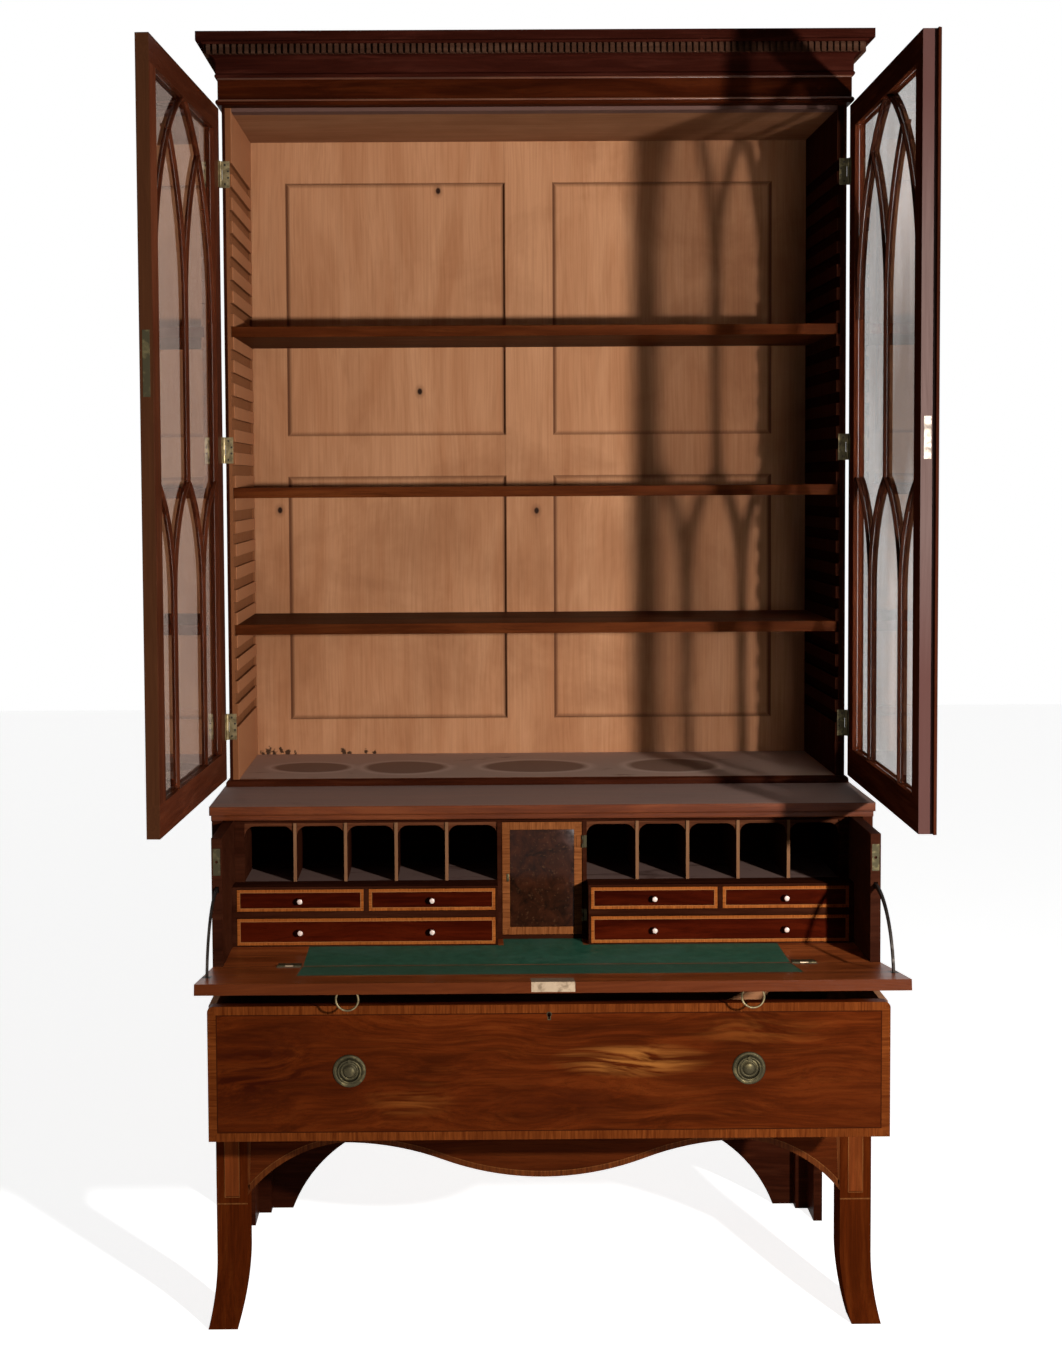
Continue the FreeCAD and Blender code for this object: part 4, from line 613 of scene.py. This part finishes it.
# each finish: what makes it, the nodes that wear it, and its values
finishRows = dict(
    mahoganyCornice=(mahogany, "cornice",
                     dict(tone="cornice", scale=5.0, gloss=0.4, polish=0.0, returns=True)),
    mahoganyDentil=(mahogany, "dentil_course", dict(tone="dentil", scale=5.0, gloss=0.5, polish=0.0)),
    mahoganyFrieze=(mahogany, "frieze", dict(tone="frieze", scale=16.0, gloss=0.36, returns=True)),
    mahoganyBead=(mahogany, "", dict(tone="arch", scale=9.0, gloss=0.3, polish=0.2)),
    mahoganyUpright=(mahogany, "base_left_side base_right_side meeting_bead", dict(grain="z")),
    mahoganyUprightLeft=(mahogany, "bookcase_left_side", dict(grain="z", inner=leftInner)),
    mahoganyUprightRight=(mahogany, "bookcase_right_side", dict(grain="z", polish=0.0, inner=rightInnerShade)),
    mahoganyAcross=(mahogany, "drawer_divider side_skirts waist_moulding rear_feet", {}),
    mahoganyTop=(mahogany, "base_top", dict(tone="desk", gloss=0.3, polish=0.12, dust=topDustAndSheen, easing=0.005)),
    mahoganyShelf=(mahogany, "lower_shelf middle_shelf upper_shelf",
                   dict(tone="shelf", scale=12.0, gloss=0.42, dust=shelfDust)),
    mahoganyDusty=(mahogany, "bookcase_bottom",
                   dict(tone="shelf", gloss=0.46, dust=floorDust, ovals=floorOvals)),
    mahoganyDoorLeft=(mahogany, "left_door_frame",
                      dict(grain="z", tone="door", rails=doorRails, gloss=0.3, front=leftDoorEdgeReflection)),
    mahoganyDoorRight=(mahogany, "right_door_frame",
                       dict(grain="z", tone="door", rails=doorRails, gloss=0.3, polish=0.0,
                            front=rightDoorEdgeHighlight)),
    mahoganyTracery=(mahogany, "left_door_glazing_bars",
                     dict(grain="z", tone="door", scale=12.0, gloss=0.28, polish=0.01)),
    # the right door's bars wear a darker copy of the left's finish: painted shade
    mahoganyTraceryPaintedShade=(mahogany, "right_door_glazing_bars",
                         dict(grain="z", tone="paintedShadeBar", scale=12.0, gloss=0.28, polish=0.0)),
    mahoganyInside=(mahogany, "pigeonhole_case", dict(tone="inside", gloss=0.5, polish=0.0, dust=holeDust)),
    mahoganyCarcase=(mahogany, "secretaire_case", dict(tone="inside", gloss=0.5, polish=0.01)),
    mahoganyArch=(mahogany, "pigeonhole_arches", dict(tone="arch", gloss=0.4)),
    mahoganyDivider=(mahogany, "pigeonhole_dividers",
                     dict(grain="z", tone="inside", gloss=0.5, front=dividerEdge)),
    mahoganyFall=(mahogany, "fall_board secretaire_floor",
                  dict(tone="fall", scale=22.0, reach=0.12, wander=0.1, gloss=0.3, polish=0.06,
                       front=fallEdge, under=fallBorder)),
    mahoganyLeg=(mahogany, "front_left_leg front_right_leg",
                 dict(grain="z", tone="leg", gloss=0.3, polish=0.0)),
    mahoganyLegPanel=(mahogany, "", dict(grain="z", tone="legPanel", scale=12.0, gloss=0.3)),
    mahoganyApron=(mahogany, "front_apron", dict(tone="apron", gloss=0.3)),
    mahoganyFigured=(mahogany, "long_drawer_front",
                     dict(tone="figured", scale=30.0, reach=0.12, wander=0.2, gloss=0.26, border=longBorder,
                          flames=longFlames)),
    mahoganyProspect=(mahogany, "prospect_door",
                      dict(grain="z", tone="inside", scale=26.0, wander=0.3, gloss=0.35,
                           border=prospectBorder, patch=prospectEdgeShade)),
    keyholeShadow=(mahogany, "", dict(tone="keyhole", gloss=0.6)),
    pineBack=(pine, "back_frame back_panels base_back", dict(panels=backPanels())),
    pineBoard=(pine, "long_drawer_box", dict(grain="x", grime=0.7)),
    pineBottom=(pine, "base_bottom", dict(grain="x", grime=0.7, paintedShadeAndFacing=bottomEdge)),
    pineCeiling=(pine, "bookcase_top", dict(grain="x", grime=0.7, paintedShadeAndFacing=ceilingPaintedShade)),
    agedBrass=(brass, "left_case_hinges left_door_hinges",
               dict(clean=(0.3, 0.23, 0.12), tarnish=(0.07, 0.05, 0.026))),
    tarnishedBrass=(brass, "right_case_hinges right_door_hinges secretaire_brasses long_drawer_plates "
                    "fall_left_ring fall_right_ring long_left_ring long_right_ring",
                    dict(clean=(0.13, 0.102, 0.048), tarnish=(0.03, 0.026, 0.016), gloss=0.4, cover=0.9)),
    rubbedBrass=(brass, "fall_brasses",
                 dict(clean=(0.34, 0.245, 0.16), tarnish=(0.12, 0.08, 0.048), gloss=0.45, cover=0.6,
                      under=(0.09, 0.07, 0.034))),
    dullBrass=(brass, "",
               dict(clean=(0.145, 0.118, 0.098), tarnish=(0.06, 0.045, 0.034), gloss=0.45, cover=0.6)),
    darkSteel=(brass, "quadrant_stays",
               dict(clean=(0.05, 0.042, 0.036), tarnish=(0.016, 0.012, 0.01), gloss=0.4, cover=0.8)),
    greenLeather=(leather, "floor_leather fall_leather", {}),
    # the two doors' panes are tinted apart, pinkish on the left and near white on the right, as painted
    # reflection
    oldGlassLeft=(paneGlass, "left_door_panes",
                  dict(pale=(0.36, 0.28, 0.24), dim=(0.3, 0.225, 0.195), zone=leftReflectionZone)),
    oldGlassRight=(paneGlass, "right_door_panes",
                   dict(pale=(0.84, 0.82, 0.8), dim=(0.29, 0.268, 0.25), zone=rightReflectionZone)),
    dimMirror=(mirror, "", {}),
    boneKnob=(bone, "", {}),
    crossbandVeneer=(crossband, "", dict(tones=((0.05, 0.01, 0.0018), (0.13, 0.033, 0.0065)))),
    paleStringing=(crossband, "", dict(tones=((0.09, 0.026, 0.006), (0.19, 0.066, 0.017)))),
)
smallFronts = [f"{hand}_{kind}_drawer" for hand in outward for kind in ("wide", "inner", "outer")]
for index, name in enumerate(smallFronts):
    border = faceBorder(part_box(name), 2, **smallBand)
    settings = dict(smallGrain, border=border, shift=(grainStep * index, 0, 0))
    finishRows["mahogany" + name.title().replace("_", "")] = (mahogany, name, settings)
finishes = {}
for finish, (make, wearers, settings) in finishRows.items():
    finishes[finish], shader = openMaterial(finish)
    make(shader, addNode("ShaderNodeTexCoord").outputs, **settings)
    for name in wearers.split():
        nodes[name].data.materials.clear()
        nodes[name].data.materials.append(finishes[finish])
print("finishes made and given to the nodes:", len(finishes))

mergeGap = 1e-6
smoothAngle = math.radians(38)


# a finished bmesh becomes a piece that rides on a body
def keepPiece(name, bm, finish, body, stands=(), move=None):
    bmesh.ops.remove_doubles(bm, verts=bm.verts, dist=mergeGap)
    bmesh.ops.recalc_face_normals(bm, faces=bm.faces)
    if move:
        bmesh.ops.transform(bm, matrix=move, verts=bm.verts)
    mesh = bpy.data.meshes.new(name)
    bm.to_mesh(mesh)
    bm.free()
    mesh.polygons.foreach_set("use_smooth", [True] * len(mesh.polygons))
    mesh.set_sharp_from_angle(angle=smoothAngle)
    piece = bpy.data.objects.new(name, mesh)
    bpy.context.scene.collection.objects.link(piece)
    mesh.materials.append(finishes[finish])
    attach(piece, body)
    if stands:
        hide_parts(*stands)


# a copy of a node's mesh, merged
def copyNode(name):
    bm = bmesh.new()
    bm.from_mesh(nodes[name].data)
    bmesh.ops.remove_doubles(bm, verts=bm.verts, dist=mergeGap)
    return bm


# a full turn about the Y axis through a point
def turnRound(bm, geom, place, steps):
    bmesh.ops.spin(bm, geom=geom, cent=place, axis=(0, 1, 0), dvec=(0, 0, 0), angle=math.tau, steps=steps,
                   use_merge=True, use_duplicate=False)


# a profile of (radius, height) corners turned about -Y through a point
def turnProfile(bm, corners, place, steps):
    verts = [bm.verts.new((place[0] + radius, place[1] - height, place[2])) for radius, height in corners]
    edges = [bm.edges.new(pair) for pair in zip(verts, verts[1:])]
    turnRound(bm, verts + edges, place, steps)


def bevelEdges(bm, edges, offset, segments):
    bmesh.ops.bevel(bm, geom=edges, offset=offset, affect="EDGES", segments=segments, profile=0.5,
                    material=-1)


def addBlock(bm, low, high, ease=0.0):
    low, high = Vector(low), Vector(high)
    shape = Matrix.Translation((low + high) / 2) @ Matrix.Diagonal((*(high - low), 1))
    made = bmesh.ops.create_cube(bm, size=1.0, matrix=shape)["verts"]
    if ease:
        bevelEdges(bm, list({edge for vert in made for edge in vert.link_edges}), ease, 2)


# gives flat faces a thickness
def thicken(bm, faces, vec):
    grown = bmesh.ops.extrude_face_region(bm, geom=faces, use_keep_orig=True)["geom"]
    moved = [item for item in grown if isinstance(item, bmesh.types.BMVert)]
    bmesh.ops.translate(bm, verts=moved, vec=vec)


ringPull = dict(radius=0.01875, wire=0.00175, segments=14, steps=72,
                finish=dict(fall="agedBrass", long="tarnishedBrass"))


def hangRing(name, joint, body, finish):
    place = Vector(joints[joint]["pos_m"]) - Vector((0, 0, ringPull["radius"]))
    bm = bmesh.new()
    side = Matrix.Translation(place + Vector((ringPull["radius"], 0, 0)))
    bmesh.ops.create_circle(bm, segments=ringPull["segments"], radius=ringPull["wire"], matrix=side)
    turnRound(bm, bm.verts[:] + bm.edges[:], place, ringPull["steps"])
    keepPiece(name, bm, finish, body, (body,))


for row, finish in ringPull["finish"].items():
    for hand in outward:
        hangRing(f"{row}{hand.title()}RingPull", f"{row}_{hand}_ring_swing", f"{row}_{hand}_ring", finish)
print("ring pulls hung")

# turned roses behind the drawer rings: rim, hollow, and a domed boss
rose = dict(stand=0.0045, steps=72, corners=(
    (0.028, 0.0), (0.0281, 0.0012), (0.0272, 0.0024), (0.0256, 0.0033), (0.024, 0.0034), (0.0229, 0.0028),
    (0.0222, 0.00255), (0.016, 0.00255), (0.0152, 0.0031), (0.014, 0.0036), (0.0128, 0.0033), (0.012, 0.0028),
    (0.0108, 0.0034), (0.0096, 0.0052), (0.0074, 0.0066), (0.0044, 0.0074), (0.0, 0.0077)))
for hand in outward:
    bm = bmesh.new()
    pivot = Vector(joints[f"long_{hand}_ring_swing"]["pos_m"])
    centre = (pivot.x, pivot.y + rose["stand"], pivot.z - ringPull["radius"])
    turnProfile(bm, rose["corners"], centre, rose["steps"])
    keepPiece(f"long{hand.title()}Rose", bm, "tarnishedBrass", "long_drawer")

# bone buttons set in the front of the small drawers' turned knobs
knob = dict(reach=0.013, steps=32, corners=(
    (0.0, 0.01), (0.0047, 0.0104), (0.0049, 0.0114), (0.0044, 0.0127), (0.003, 0.0135), (0.0, 0.0138)))
for hand in outward:
    centres = [sum(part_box(f"{hand}_{kind}_drawer"), Vector()).x / 2 for kind in ("inner", "outer")]
    for kind, places in (("wide", centres), ("inner", centres[:1]), ("outer", centres[1:])):
        low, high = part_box(f"{hand}_{kind}_drawer")
        bm = bmesh.new()
        for x in places:
            turnProfile(bm, knob["corners"], (x, low.y + knob["reach"], (low.z + high.z) / 2), knob["steps"])
        keepPiece(f"{hand}{kind.title()}Buttons", bm, "boneKnob", f"{hand}_{kind}_drawer")
print("roses and knobs turned")

# crossband along every edge of the apron's face, with a pale line inside it
apronBand = dict(width=0.0095, line=0.0012, proud=0.0004, facing=-0.9, behind=0.0005)


def bandApron():
    bm = copyNode("front_apron")
    limit = min(vert.co.y for vert in bm.verts) + apronBand["behind"]
    away = [face for face in bm.faces
            if face.normal.y > apronBand["facing"] or face.calc_center_median().y > limit]
    bmesh.ops.delete(bm, geom=away, context="FACES")
    bmesh.ops.dissolve_faces(bm, faces=bm.faces[:])
    for name, width, finish in (("apronCrossband", apronBand["width"], "crossbandVeneer"),
                                ("apronStringing", apronBand["line"], "paleStringing")):
        rim = bmesh.ops.inset_region(bm, faces=bm.faces[:], thickness=width, use_boundary=True,
                                     use_even_offset=False)
        strip = bm.copy()
        kept = {face.index for face in rim["faces"]}
        strip.faces.ensure_lookup_table()
        inside = [face for face in strip.faces if face.index not in kept]
        bmesh.ops.delete(strip, geom=inside, context="FACES")
        thicken(strip, strip.faces[:], (0, -apronBand["proud"], 0))
        keepPiece(name, strip, finish, "case")
        bmesh.ops.delete(bm, geom=rim["faces"], context="FACES")
    bm.free()


bandApron()

# veneered panel and stringing on the face of each front leg
legInlay = dict(half=0.0125, line=0.0013, low=0.242, top=0.402, cross=0.228, crossHalf=0.0283, inset=0.0285,
                face=-0.086, proud=0.0004, sunk=0.0005)


def addInlay(bm, x, z):
    front, back = legInlay["face"] - legInlay["proud"], legInlay["face"] + legInlay["sunk"]
    addBlock(bm, (x[0], front, z[0]), (x[1], back, z[1]))


for hand in outward:
    low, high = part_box(f"front_{hand}_leg")
    middle = outward[hand] * (min(abs(low.x), abs(high.x)) + legInlay["inset"])
    half, line, foot, top = (legInlay[key] for key in ("half", "line", "low", "top"))
    cross, wide = legInlay["cross"], legInlay["crossHalf"]
    panel, lines = bmesh.new(), bmesh.new()
    addInlay(panel, (middle - half, middle + half), (foot, top))
    for x in (middle - half - line / 2, middle + half + line / 2):
        addInlay(lines, (x - line / 2, x + line / 2), (foot - line, top))
    addInlay(lines, (middle - half - line, middle + half + line), (foot - 2 * line, foot - line))
    addInlay(lines, (middle - wide, middle + wide), (cross - line, cross + line))
    keepPiece(f"{hand}LegPanel", panel, "mahoganyLegPanel", "case")
    keepPiece(f"{hand}LegStringing", lines, "paleStringing", "case")
print("apron and legs inlaid")

# two beads that catch the light along the frieze
friezeBeads = dict(heights=(2.3055, 2.2655), radius=0.0021, ends=0.004, proud=0.0004, ease=0.0012)
low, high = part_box("frieze")
radius = friezeBeads["radius"]
bm = bmesh.new()
for z in friezeBeads["heights"]:
    addBlock(bm, (low.x + friezeBeads["ends"], low.y - friezeBeads["proud"], z - radius),
             (high.x - friezeBeads["ends"], low.y + radius, z + radius), friezeBeads["ease"])
keepPiece("friezeBeads", bm, "mahoganyBead", "case")

# the long drawer's front again, with its top corners rounded off
longCorners = dict(radius=0.01, segments=8, flatAngle=math.radians(1), near=0.0002, shortest=0.005)


def roundLongFront():
    bm = copyNode("long_drawer_front")
    bmesh.ops.dissolve_limit(bm, angle_limit=longCorners["flatAngle"], verts=bm.verts[:], edges=bm.edges[:])
    low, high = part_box("long_drawer_front")
    corners = []
    for edge in bm.edges:
        ends = [vert.co for vert in edge.verts]
        atTop = all(co.z > high.z - longCorners["near"] for co in ends)
        atSide = all(min(co.x - low.x, high.x - co.x) < longCorners["near"] for co in ends)
        if atTop and atSide and abs(ends[0].y - ends[1].y) > longCorners["shortest"]:
            corners.append(edge)
    bevelEdges(bm, corners, longCorners["radius"], longCorners["segments"])
    keepPiece("longDrawerFace", bm, "mahoganyFigured", "long_drawer", ("long_drawer_front",))
    print("drawer corners rounded:", len(corners))


roundLongFront()

# dovetails show on the sides of the long drawer as the pins of its front
dovetail = dict(count=4, length=0.011, narrow=0.0045, wide=0.0095, proud=0.0002, sunk=0.0008, overlap=0.0005)
low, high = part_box("long_drawer_box")
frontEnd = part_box("long_drawer_front")[1].y
ends = ((frontEnd - dovetail["overlap"], dovetail["narrow"]),
        (frontEnd + dovetail["length"], dovetail["wide"]))
bm = bmesh.new()
for way, side in ((-1, low.x), (1, high.x)):
    inner = side - way * dovetail["sunk"]
    for index in range(dovetail["count"]):
        z = low.z + (high.z - low.z) * (index + 0.5) / dovetail["count"]
        pin = [bm.verts.new((inner, y, z + half * up)) for y, half in ends for up in (-1, 1)]
        plate = bmesh.ops.contextual_create(bm, geom=pin)["faces"]
        thicken(bm, plate, (way * (dovetail["sunk"] + dovetail["proud"]), 0, 0))
keepPiece("longDovetails", bm, "mahoganyApron", "long_drawer")
print("dovetails cut")

# keyhole of the long drawer: a brass thread around a slot, a solid piece painted near-black as painted shade
keyhole = dict(x=0.0, z=0.642, steps=32, sunk=0.0004)
keyholeParts = (
    dict(name="longKeyholeRim", radius=0.0044, cut=(0.0027, 0.0098), proud=0.0004, finish="tarnishedBrass",
         slot="brass"),
    dict(name="longKeyhole", radius=0.0031, cut=(0.0016, 0.0085), proud=0.0007, finish="keyholeShadow",
         slot="mahogany"))
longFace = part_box("long_drawer_front")[0].y
x, z, sunk = keyhole["x"], keyhole["z"], keyhole["sunk"]
for part in keyholeParts:
    radius, proud, (half, drop) = part["radius"], part["proud"], part["cut"]
    bm = bmesh.new()
    turnProfile(bm, ((radius, -sunk), (radius, proud), (0.0, proud)), (x, longFace, z), keyhole["steps"])
    addBlock(bm, (x - half, longFace - proud, z - drop), (x + half, longFace + sunk, z))
    keepPiece(part["name"], bm, part["finish"], "long_drawer")

# prospect door: the dim mirror in its banded frame, and a small lock plate
mirrorPlate = dict(half=0.0588, frame=0.0142, back=0.0009, front=0.0003, ease=0.0002)
prospectPlate = dict(x=(-0.0655, -0.0605), z=(0.8135, 0.8275), proud=0.0006, sunk=0.0004, ease=0.0002)
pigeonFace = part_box("pigeonhole_dividers")[0].y
bm = bmesh.new()
half, border = mirrorPlate["half"], mirrorPlate["frame"]
addBlock(bm, (-half, pigeonFace + mirrorPlate["front"], prospectLow.z + border),
         (half, pigeonFace + mirrorPlate["back"], prospectHigh.z - border), mirrorPlate["ease"])
keepPiece("prospectMirror", bm, "dimMirror", "prospect_door")
bm = bmesh.new()
addBlock(bm, (prospectPlate["x"][0], pigeonFace - prospectPlate["proud"], prospectPlate["z"][0]),
         (prospectPlate["x"][1], pigeonFace + prospectPlate["sunk"], prospectPlate["z"][1]),
         prospectPlate["ease"])
keepPiece("prospectLockPlate", bm, "tarnishedBrass", "prospect_door")
print("keyholes and mirror set")

# quarter-round spandrels under the shoulders of the pigeonhole arches
spandrel = dict(radius=0.0195, drop=0.006, thick=0.005, steps=12, setBack=0.0005, near=0.0002, digits=5)


def addSpandrel(bm, x, top, toward, face):
    radius = spandrel["radius"]
    corner = bm.verts.new((x, face, top))
    start = bm.verts.new((x + toward * radius, face, top))
    last = bmesh.ops.spin(bm, geom=[start], cent=(x + toward * radius, face, top - radius),
                          axis=(0, toward, 0), dvec=(0, 0, 0), angle=-math.pi / 2, steps=spandrel["steps"],
                          use_duplicate=False)
    bm.edges.new((corner, start))
    bm.edges.new((last["geom_last"][0], corner))
    outline = [edge for edge in bm.edges if not edge.link_faces]
    plate = bmesh.ops.contextual_create(bm, geom=outline)["faces"]
    thicken(bm, plate, (0, spandrel["thick"], 0))


low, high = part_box("pigeonhole_arches")
shoulders = sorted({round(vert.co.x, spandrel["digits"]) for vert in nodes["pigeonhole_arches"].data.vertices
                    if vert.co.z > high.z - spandrel["near"]})
top, face = high.z - spandrel["drop"], low.y + spandrel["setBack"]
bm = bmesh.new()
for left, right in zip(shoulders[::2], shoulders[1::2]):
    addSpandrel(bm, left, top, 1, face)
    addSpandrel(bm, right, top, -1, face)
keepPiece("pigeonholeSpandrels", bm, "mahoganyArch", "secretaire")
print("arches rounded:", len(shoulders) // 2)


# a door as it stands at rest, from where it stands when closed
def openedDoor(hand):
    hinge = joints[f"{hand}_door_hinge"]
    pivot = Matrix.Translation(hinge["pos_m"])
    turn = Matrix.Rotation(math.radians(-hinge["range_deg"][0]), 4, Vector(hinge["axis"]))
    return pivot @ turn @ pivot.inverted()


# screw heads on the case leaves of the hinges
hingeScrews = dict(heights=(2.132, 1.609, 1.077), stand=0.0004, steps=16,
                   places=((0.0085, 0.018), (0.0145, 0.006), (0.0145, -0.006), (0.0085, -0.018)),
                   head=((0.0019, -0.0003), (0.0019, 0.0002), (0.0012, 0.0005), (0.0, 0.0006)))
for hand, out in outward.items():
    pivot = Vector(joints[f"{hand}_door_hinge"]["pos_m"])
    bm = bmesh.new()
    for height in hingeScrews["heights"]:
        for across, rise in hingeScrews["places"]:
            place = (pivot.x - out * across, pivot.y + hingeScrews["stand"], height + rise)
            turnProfile(bm, hingeScrews["head"], place, hingeScrews["steps"])
    keepPiece(f"{hand}CaseHingeScrews", bm, "darkSteel", "case")

# lock plates let into the leading edges of the doors
doorPlates = dict(left=(1.684, 1.79), right=(1.5787, 1.6467), proud=0.0004, sunk=0.0005,
                  depth=(-0.0185, -0.0065), finish=dict(left="tarnishedBrass", right="dullBrass"))
for hand, out in outward.items():
    pivot = Vector(joints[f"{hand}_door_hinge"]["pos_m"])
    move = openedDoor(hand)
    closed = [move.inverted() @ vert.co for vert in nodes[f"{hand}_door_frame"].data.vertices]
    edge = max(-out * co.x for co in closed) * -out
    sides = sorted((edge + out * doorPlates["sunk"], edge - out * doorPlates["proud"]))
    near, far = (pivot.y + depth for depth in doorPlates["depth"])
    foot, head = doorPlates[hand]
    bm = bmesh.new()
    addBlock(bm, (sides[0], near, foot), (sides[1], far, head))
    keepPiece(f"{hand}DoorLockPlate", bm, doorPlates["finish"][hand], f"{hand}_door", move=move)
print("hinge screws and lock plates fixed")

# stage, light and camera; the soft lamps light the wood but are not seen in it or through the glass
lamps = dict(
    keyLamp=dict(place=(1.4, -2.45, 1.475), target=(-0.05, 0.2, 1.35), size=0.1, power=108.0, seen=True),
    fillLamp=dict(place=(-2.2, -3.6, 2.6), target=(0, 0, 1.0), size=2.2, power=2.0, seen=False),
    backLamp=dict(place=(-2.7, 2.9, 1.9), target=(-0.3, 0.4, 1.2), size=1.6, power=45.0, seen=False))


def addLamp(name, place, target, size, power, seen):
    lamp = bpy.data.lights.new(name, "AREA")
    lamp.shape = "DISK"
    lamp.size = size
    lamp.energy = power
    thing = bpy.data.objects.new(name, lamp)
    thing.location = place
    thing.rotation_euler = (Vector(target) - Vector(place)).to_track_quat("-Z", "Y").to_euler()
    thing.visible_camera = thing.visible_glossy = thing.visible_transmission = seen
    bpy.context.scene.collection.objects.link(thing)
    return thing


# rays that see the backdrop itself: camera, mirror and glass
def seenRays():
    ray = addNode("ShaderNodeLightPath").outputs
    seen = calc("MAXIMUM", ray["Is Camera Ray"], ray["Is Transmission Ray"])
    return calc("MAXIMUM", seen, ray["Is Glossy Ray"])


backdrop = dict(white=(1, 1, 1, 1), ambientTone=(1, 0.97, 0.94, 1), ambient=0.025, floorTone=(0.9, 0.9, 0.89),
                floorRough=0.9, floorGlow=0.86, floorReach=9.0, floorHeight=-0.0005)


def makeWorld():
    world = bpy.data.worlds.new("studioWorld")
    world.use_nodes = True
    work["tree"] = world.node_tree
    work["tree"].nodes.clear()
    white = addNode("ShaderNodeBackground", {0: backdrop["white"], 1: 1.0}).outputs[0]
    soft = addNode("ShaderNodeBackground", {0: backdrop["ambientTone"], 1: backdrop["ambient"]}).outputs[0]
    mixed = addNode("ShaderNodeMixShader", {0: seenRays(), 1: soft, 2: white}).outputs[0]
    addNode("ShaderNodeOutputWorld", {0: mixed})
    bpy.context.scene.world = world


def makeFloor():
    bm = bmesh.new()
    bmesh.ops.create_grid(bm, x_segments=1, y_segments=1, size=backdrop["floorReach"])
    mesh = bpy.data.meshes.new("studioFloor")
    bm.to_mesh(mesh)
    bm.free()
    floor = bpy.data.objects.new("studioFloor", mesh)
    floor.location.z = backdrop["floorHeight"]
    bpy.context.scene.collection.objects.link(floor)
    material, shader = openMaterial("paleFloor")
    setSurface(shader, opaque(backdrop["floorTone"]), backdrop["floorRough"])
    glow = addNode("ShaderNodeEmission", {0: backdrop["white"], 1: backdrop["floorGlow"]}).outputs[0]
    lit = addNode("ShaderNodeAddShader", {0: shader.outputs[0], 1: glow}).outputs[0]
    splitSurface(seenRays(), shader.outputs[0], lit)
    mesh.materials.append(material)
    return floor


# the back lamp leaves the floor alone, so that the object's shadow stays
def spareFloor(lamp, floor):
    missed = bpy.data.collections.new("floorOutOfLight")
    missed.objects.link(floor)
    lamp.light_linking.receiver_collection = missed
    for entry in missed.collection_objects:
        entry.light_linking.link_state = "EXCLUDE"


view = dict(place=(-0.1429, -3.3612, 1.5477), pitch=2.8468, yaw=-0.3158, roll=-0.35, lens=48.677, sensor=36.0,
            shift=(0.04365, -0.07541))


def makeCamera():
    data = bpy.data.cameras.new("photoCamera")
    data.lens = view["lens"]
    data.sensor_width = view["sensor"]
    data.shift_x, data.shift_y = view["shift"]
    camera = bpy.data.objects.new("photoCamera", data)
    turn = Euler((math.radians(90 - view["pitch"]), 0, math.radians(view["yaw"]))).to_matrix()
    turn = turn @ Matrix.Rotation(math.radians(view["roll"]), 3, "Z")
    camera.matrix_world = Matrix.Translation(view["place"]) @ turn.to_4x4()
    bpy.context.scene.collection.objects.link(camera)
    bpy.context.scene.camera = camera


hung = {name: addLamp(name, **settings) for name, settings in lamps.items()}
makeWorld()
spareFloor(hung["backLamp"], makeFloor())
makeCamera()
bpy.context.scene.view_settings.view_transform = "Standard"
print("stage, lamps and camera set")
